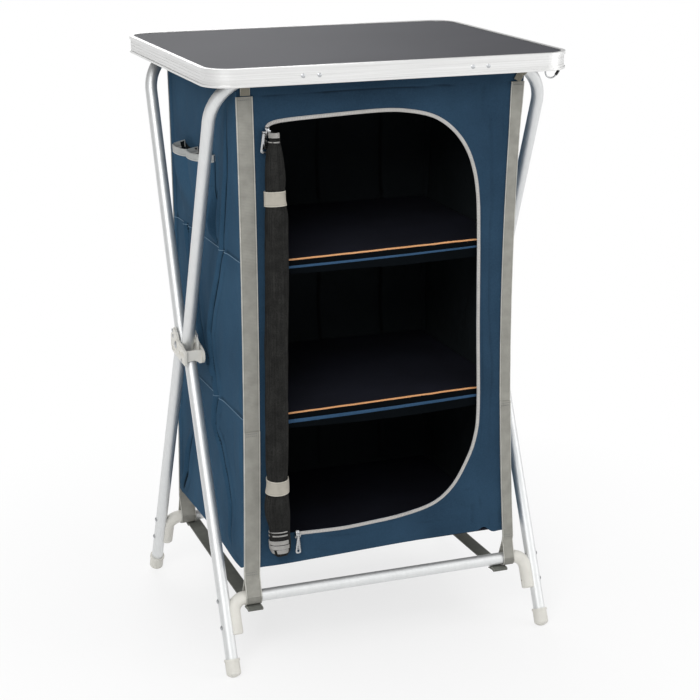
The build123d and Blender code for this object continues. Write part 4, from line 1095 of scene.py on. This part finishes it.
# Tabs of webbing round the two crossbars. The left ones hang straight down, the right ones along their bar
TAB_PLACE = {-1: 0.2305, 1: 0.2390}
TAB_HALF = {-1: 0.0075, 1: 0.0058}
TAB = 0.0012
TAB_FOOT = 0.9318
BAR_WRAP = 0.0118
for back, depth_name, side, side_name in CORNERS:
    tab_bend = asin((TAB_PLACE[side] - LEG_PLANE + BEND_RADIUS) / BEND_RADIUS)
    tab_drop = BEND_RADIUS * (1 - cos(tab_bend))
    bar_y = back * (CROSSBAR[0] - tab_drop * sin(UPPER_SLOPE))
    bar = Vector((side * TAB_PLACE[side], bar_y, CROSSBAR[1] - tab_drop * cos(UPPER_SLOPE)))
    along = Vector((cos(tab_bend), 0, -side * sin(tab_bend)))
    up = Vector((side * sin(tab_bend), 0, cos(tab_bend)))
    out = Vector((0, back, 0))
    seat = FRONT_FACE + 0.0012 + 0.0016 - abs(bar_y)
    hang = Vector((0, 0, 1)) if side < 0 else up
    join = bar - up * 0.0115
    low = join - hang * ((join.z - TAB_FOOT) / hang.z)
    flap = [low + (join - low) * n / 6 + out * seat for n in range(7)]
    angles = [radians(a) for a in range(-62, 243, 8)]
    ring = [bar + out * BAR_WRAP * cos(a) + up * BAR_WRAP * sin(a) for a in angles]
    path = flap + ring + [point - out * 0.0014 for point in reversed(flap)]

    def half_of(point):
        level = side < 0 and point.z <= join.z + 0.001
        return (Vector((1, 0, 0)) if level else along) * TAB_HALF[side]

    name = f"top_tab_{depth_name}_{side_name}"
    ribbon(name, path, half_of, TAB, tab_webbing, [f"top_tabs_{depth_name}"])


# Base straps run under the lower rails. Each end stands out past its rail and is folded back under itself
def base_route(past):
    reach, height, gap = RAIL_REACH + past, RAIL_HEIGHT - 0.0141, 0.0021
    under = [(-reach + 0.020 - n * 0.004, height - 2 * gap + 0.0004 * n) for n in range(5)]
    angles = [radians(a) for a in range(-80, 81, 20)]
    front = under + [(-reach - gap * cos(a), height - gap + gap * sin(a)) for a in angles]
    run = [(-reach + 2 * reach * n / 60, height - 0.0010 * sin(pi * n / 60)) for n in range(61)]
    return front + run + [(-y, z) for y, z in reversed(front)]


# X of each base strap at its front and at its rear end, and how far its ends stand out
BASE_PLACE = {"left": (-0.2265, -0.2150, 0.0150), "right": (0.2140, 0.2140, 0.0095)}
for side_name, (x_front, x_rear, past) in BASE_PLACE.items():
    skew = (x_rear - x_front) / (2 * RAIL_REACH)
    route = [Vector((x_front + skew * (y + RAIL_REACH), y, z)) for y, z in base_route(past)]
    half = Vector((0.0128, 0, 0))
    node = f"base_strap_{side_name}"
    ribbon(f"base_webbing_{side_name}", route, half, 0.0013, base_webbing, [node])


# Pockets on the left side. The mouth of each is a line of points: depth from front to rear, and its bulge
FOOT = 0.677
REAR_MOUTH = (
    (0.027, 0.0),
    (0.036, 0.010),
    (0.048, 0.017),
    (0.064, 0.022),
    (0.080, 0.025),
    (0.092, 0.022),
    (0.103, 0.0),
)
FRONT_MOUTH = (
    (-0.070, 0.0),
    (-0.060, 0.0065),
    (-0.036, 0.017),
    (-0.019, 0.0225),
    (0.000, 0.0245),
    (0.014, 0.022),
    (0.0255, 0.0),
)
# Section of the tape that binds a mouth: distance out of the cloth, and height above its edge
BINDING = (
    (-0.0009, -0.0105),
    (-0.0009, -0.0050),
    (-0.0009, 0.0),
    (0.0003, 0.0012),
    (0.0016, 0.0),
    (0.0016, -0.0095),
)


def pocket(name, mouth, foot, heights, seed):
    """Cloth pocket with a slack mouth, the tape that binds its edge, and a dark sheet on the wall behind it
    as painted shade inside its mouth.
    """
    line = through(mouth, 12)

    def surface(u, rise):
        n = min(int(u * (len(line) - 1)), len(line) - 2)
        t = u * (len(line) - 1) - n
        y_mouth = line[n][0] + t * (line[n + 1][0] - line[n][0])
        bulge = max(line[n][1] + t * (line[n + 1][1] - line[n][1]), 0.0)
        y = foot[0] + u * (foot[1] - foot[0])
        y += (y_mouth - y) * ease(rise, -0.2, 0.8)
        top = heights[0] + u * (heights[1] - heights[0]) - 0.004 * sin(pi * u)
        z = FOOT + rise * (top - FOOT)
        swell = 0.62 * ease(rise, 0.0, 0.75) + 0.38 * rise
        slant = max(ripple(y * 26 - z * 16, z * 18, seed + 2.2), 0.0)
        fold = 0.0016 * ripple(y * 30, z * 10 + seed, seed) + 0.0022 * slant
        fold *= sin(pi * u) * ease(rise, 0.03, 0.25) * (1 - 0.6 * ease(rise, 0.85, 1.0))
        sunk = crease(y, z, CREASES[-1]) if rise > 0 else 0.0
        wall = SIDE_FACE + 0.0004 - BOW[-1] * sag(z)
        return Vector((-(wall + max(bulge * swell + fold, 0.0012) + sunk), y, z))

    # Dark sheet on the wall inside the pocket: painted shade, so the open mouth looks dark
    def behind(u, v):
        point = surface(1 - u, 0.02 + v * 0.97)
        sunk = crease(point.y, point.z, CREASES[-1])
        return Vector((-(SIDE_FACE + 0.0002 - BOW[-1] * sag(point.z) + sunk), point.y, point.z))

    def bound(u, v):
        shift, rise = BINDING[min(int(round(v * 5)), 5)]
        point = surface(1 - u, 1.0 + min(rise, 0.0) / (heights[0] - FOOT))
        return point + Vector((shift, 0, max(rise, 0.0)))

    pouch = sheet_of(name, 90, 70, lambda u, v: surface(1 - u, v))
    lined(pouch, steel_blue, 0.0010)
    dress(pouch, None, [f"side_{name}"])
    dress(sheet_of(f"{name}_back", 60, 40, behind), painted_shade_lining)
    edge = sheet_of(f"{name}_binding", 90, 5, bound)
    lay_texture(edge, lambda u, v: (v, u * 14))
    thicken(edge, 0.0007)
    weld(edge, 0.0000001)
    return dress(edge, binding_tape, ["pocket_bindings"])


pocket("pocket_rear", REAR_MOUTH, (0.027, 0.146), (0.8130, 0.8165), 1.3)
pocket("pocket_front", FRONT_MOUTH, (-0.067, 0.026), (0.8205, 0.8180), 6.1)

# Zip sliders and pulls, which stay on the cloth when it folds flat. The upper pull is wider than in the part
PULL_X = -0.192
PULL_SEEN_X = -0.1982
PULL_WIDER = 1.45
ZIP_BODIES = {"zip_sliders": "cabinet", "zip_pull_upper": "upper_pull", "zip_pull_lower": "lower_pull"}
for node, body in ZIP_BODIES.items():
    only(frame["nodes"][node])
    bpy.ops.object.duplicate()
    copy = bpy.context.object
    copy.name = copy.data.name = f"{node}_metal"
    weld(copy, 0.000001)
    if node == "zip_pull_upper":
        for vertex in copy.data.vertices:
            vertex.co.x = PULL_SEEN_X + PULL_WIDER * (vertex.co.x - PULL_X)
    dress(copy, nickel, [node], body)

# Floor, lamps and camera
ground = added("studio_floor", bpy.ops.mesh.primitive_plane_add, size=60)
pale = linear("#f6f6f6")
floor_material, tree, surface, here = new_material("matt white studio floor", roughness=0.9, base_color=pale)


def rays(tree):
    """Whether a ray comes from the camera, and whether it comes from there or is a reflection."""
    path = add_node(tree, "ShaderNodeLightPath").outputs
    return path["Is Camera Ray"], maths(tree, "MAXIMUM", path["Is Camera Ray"], path["Is Glossy Ray"])


# The floor glows white away from the object, and is lit near it, where the object's shadow shows
distance = add_node(tree, "ShaderNodeVectorMath", {0: here}, operation="LENGTH").outputs["Value"]
share = maths(tree, "MULTIPLY", remap(tree, distance, 0.70, from_low=0.2, from_high=1.0), rays(tree)[1])
white = add_node(tree, "ShaderNodeEmission", {"Color": (1.0, 1.0, 1.0, 1.0), "Strength": 1.0})
blend = add_node(tree, "ShaderNodeMixShader", {0: share, 1: surface.outputs["BSDF"], 2: white.outputs[0]})
tree.links.new(blend.outputs[0], tree.nodes["Material Output"].inputs["Surface"])
ground.data.materials.append(floor_material)

# The room is white to the camera, bright to reflections from the front, dimmer to the rest
world = bpy.data.worlds.new("white studio")
bpy.context.scene.world = world
world.use_nodes = True
tree = world.node_tree
to_camera, to_camera_or_glossy = rays(tree)
direction = add_node(tree, "ShaderNodeTexCoord").outputs["Generated"]
heading = add_node(tree, "ShaderNodeSeparateXYZ", {0: direction}).outputs
rear = remap(tree, heading["Y"], 1.0, 0.4, -0.2, 0.6)
left = remap(tree, heading["X"], 0.5, 1.0, -0.95, -0.45)
level = remap(tree, to_camera, maths(tree, "MULTIPLY", rear, left))
sky = tree.nodes["Background"]
sky.inputs["Color"].default_value = (1.0, 1.0, 1.0, 1.0)
tree.links.new(remap(tree, to_camera_or_glossy, 0.62, level), sky.inputs["Strength"])


def softbox(name, place, target, size, power):
    """Square lamp that faces a point."""
    lamp = added(name, bpy.ops.object.light_add, type="AREA", location=place)
    lamp.data.size = size
    lamp.data.energy = power
    lamp.rotation_euler = (Vector(target) - Vector(place)).to_track_quat("-Z", "Y").to_euler()
    return lamp


softbox("key_softbox", (-2.05, -2.9, 2.8), (0, 0, 0.5), 1.8, 64)
softbox("fill_softbox", (2.8, -1.8, 1.6), (0, 0, 0.5), 2.0, 22)
softbox("rear_softbox", (0.4, 2.8, 2.6), (0, 0, 0.6), 1.6, 28)

camera = added("photo_camera", bpy.ops.object.camera_add, location=(-1.0572, -2.8289, 1.3470))
camera.rotation_euler = (pi / 2 - 0.287, 0.001, -0.363)
camera.data.sensor_width = 36.0
camera.data.lens = 94.47
camera.data.clip_end = 100.0
bpy.context.scene.camera = camera
bpy.context.scene.view_settings.view_transform = "Standard"
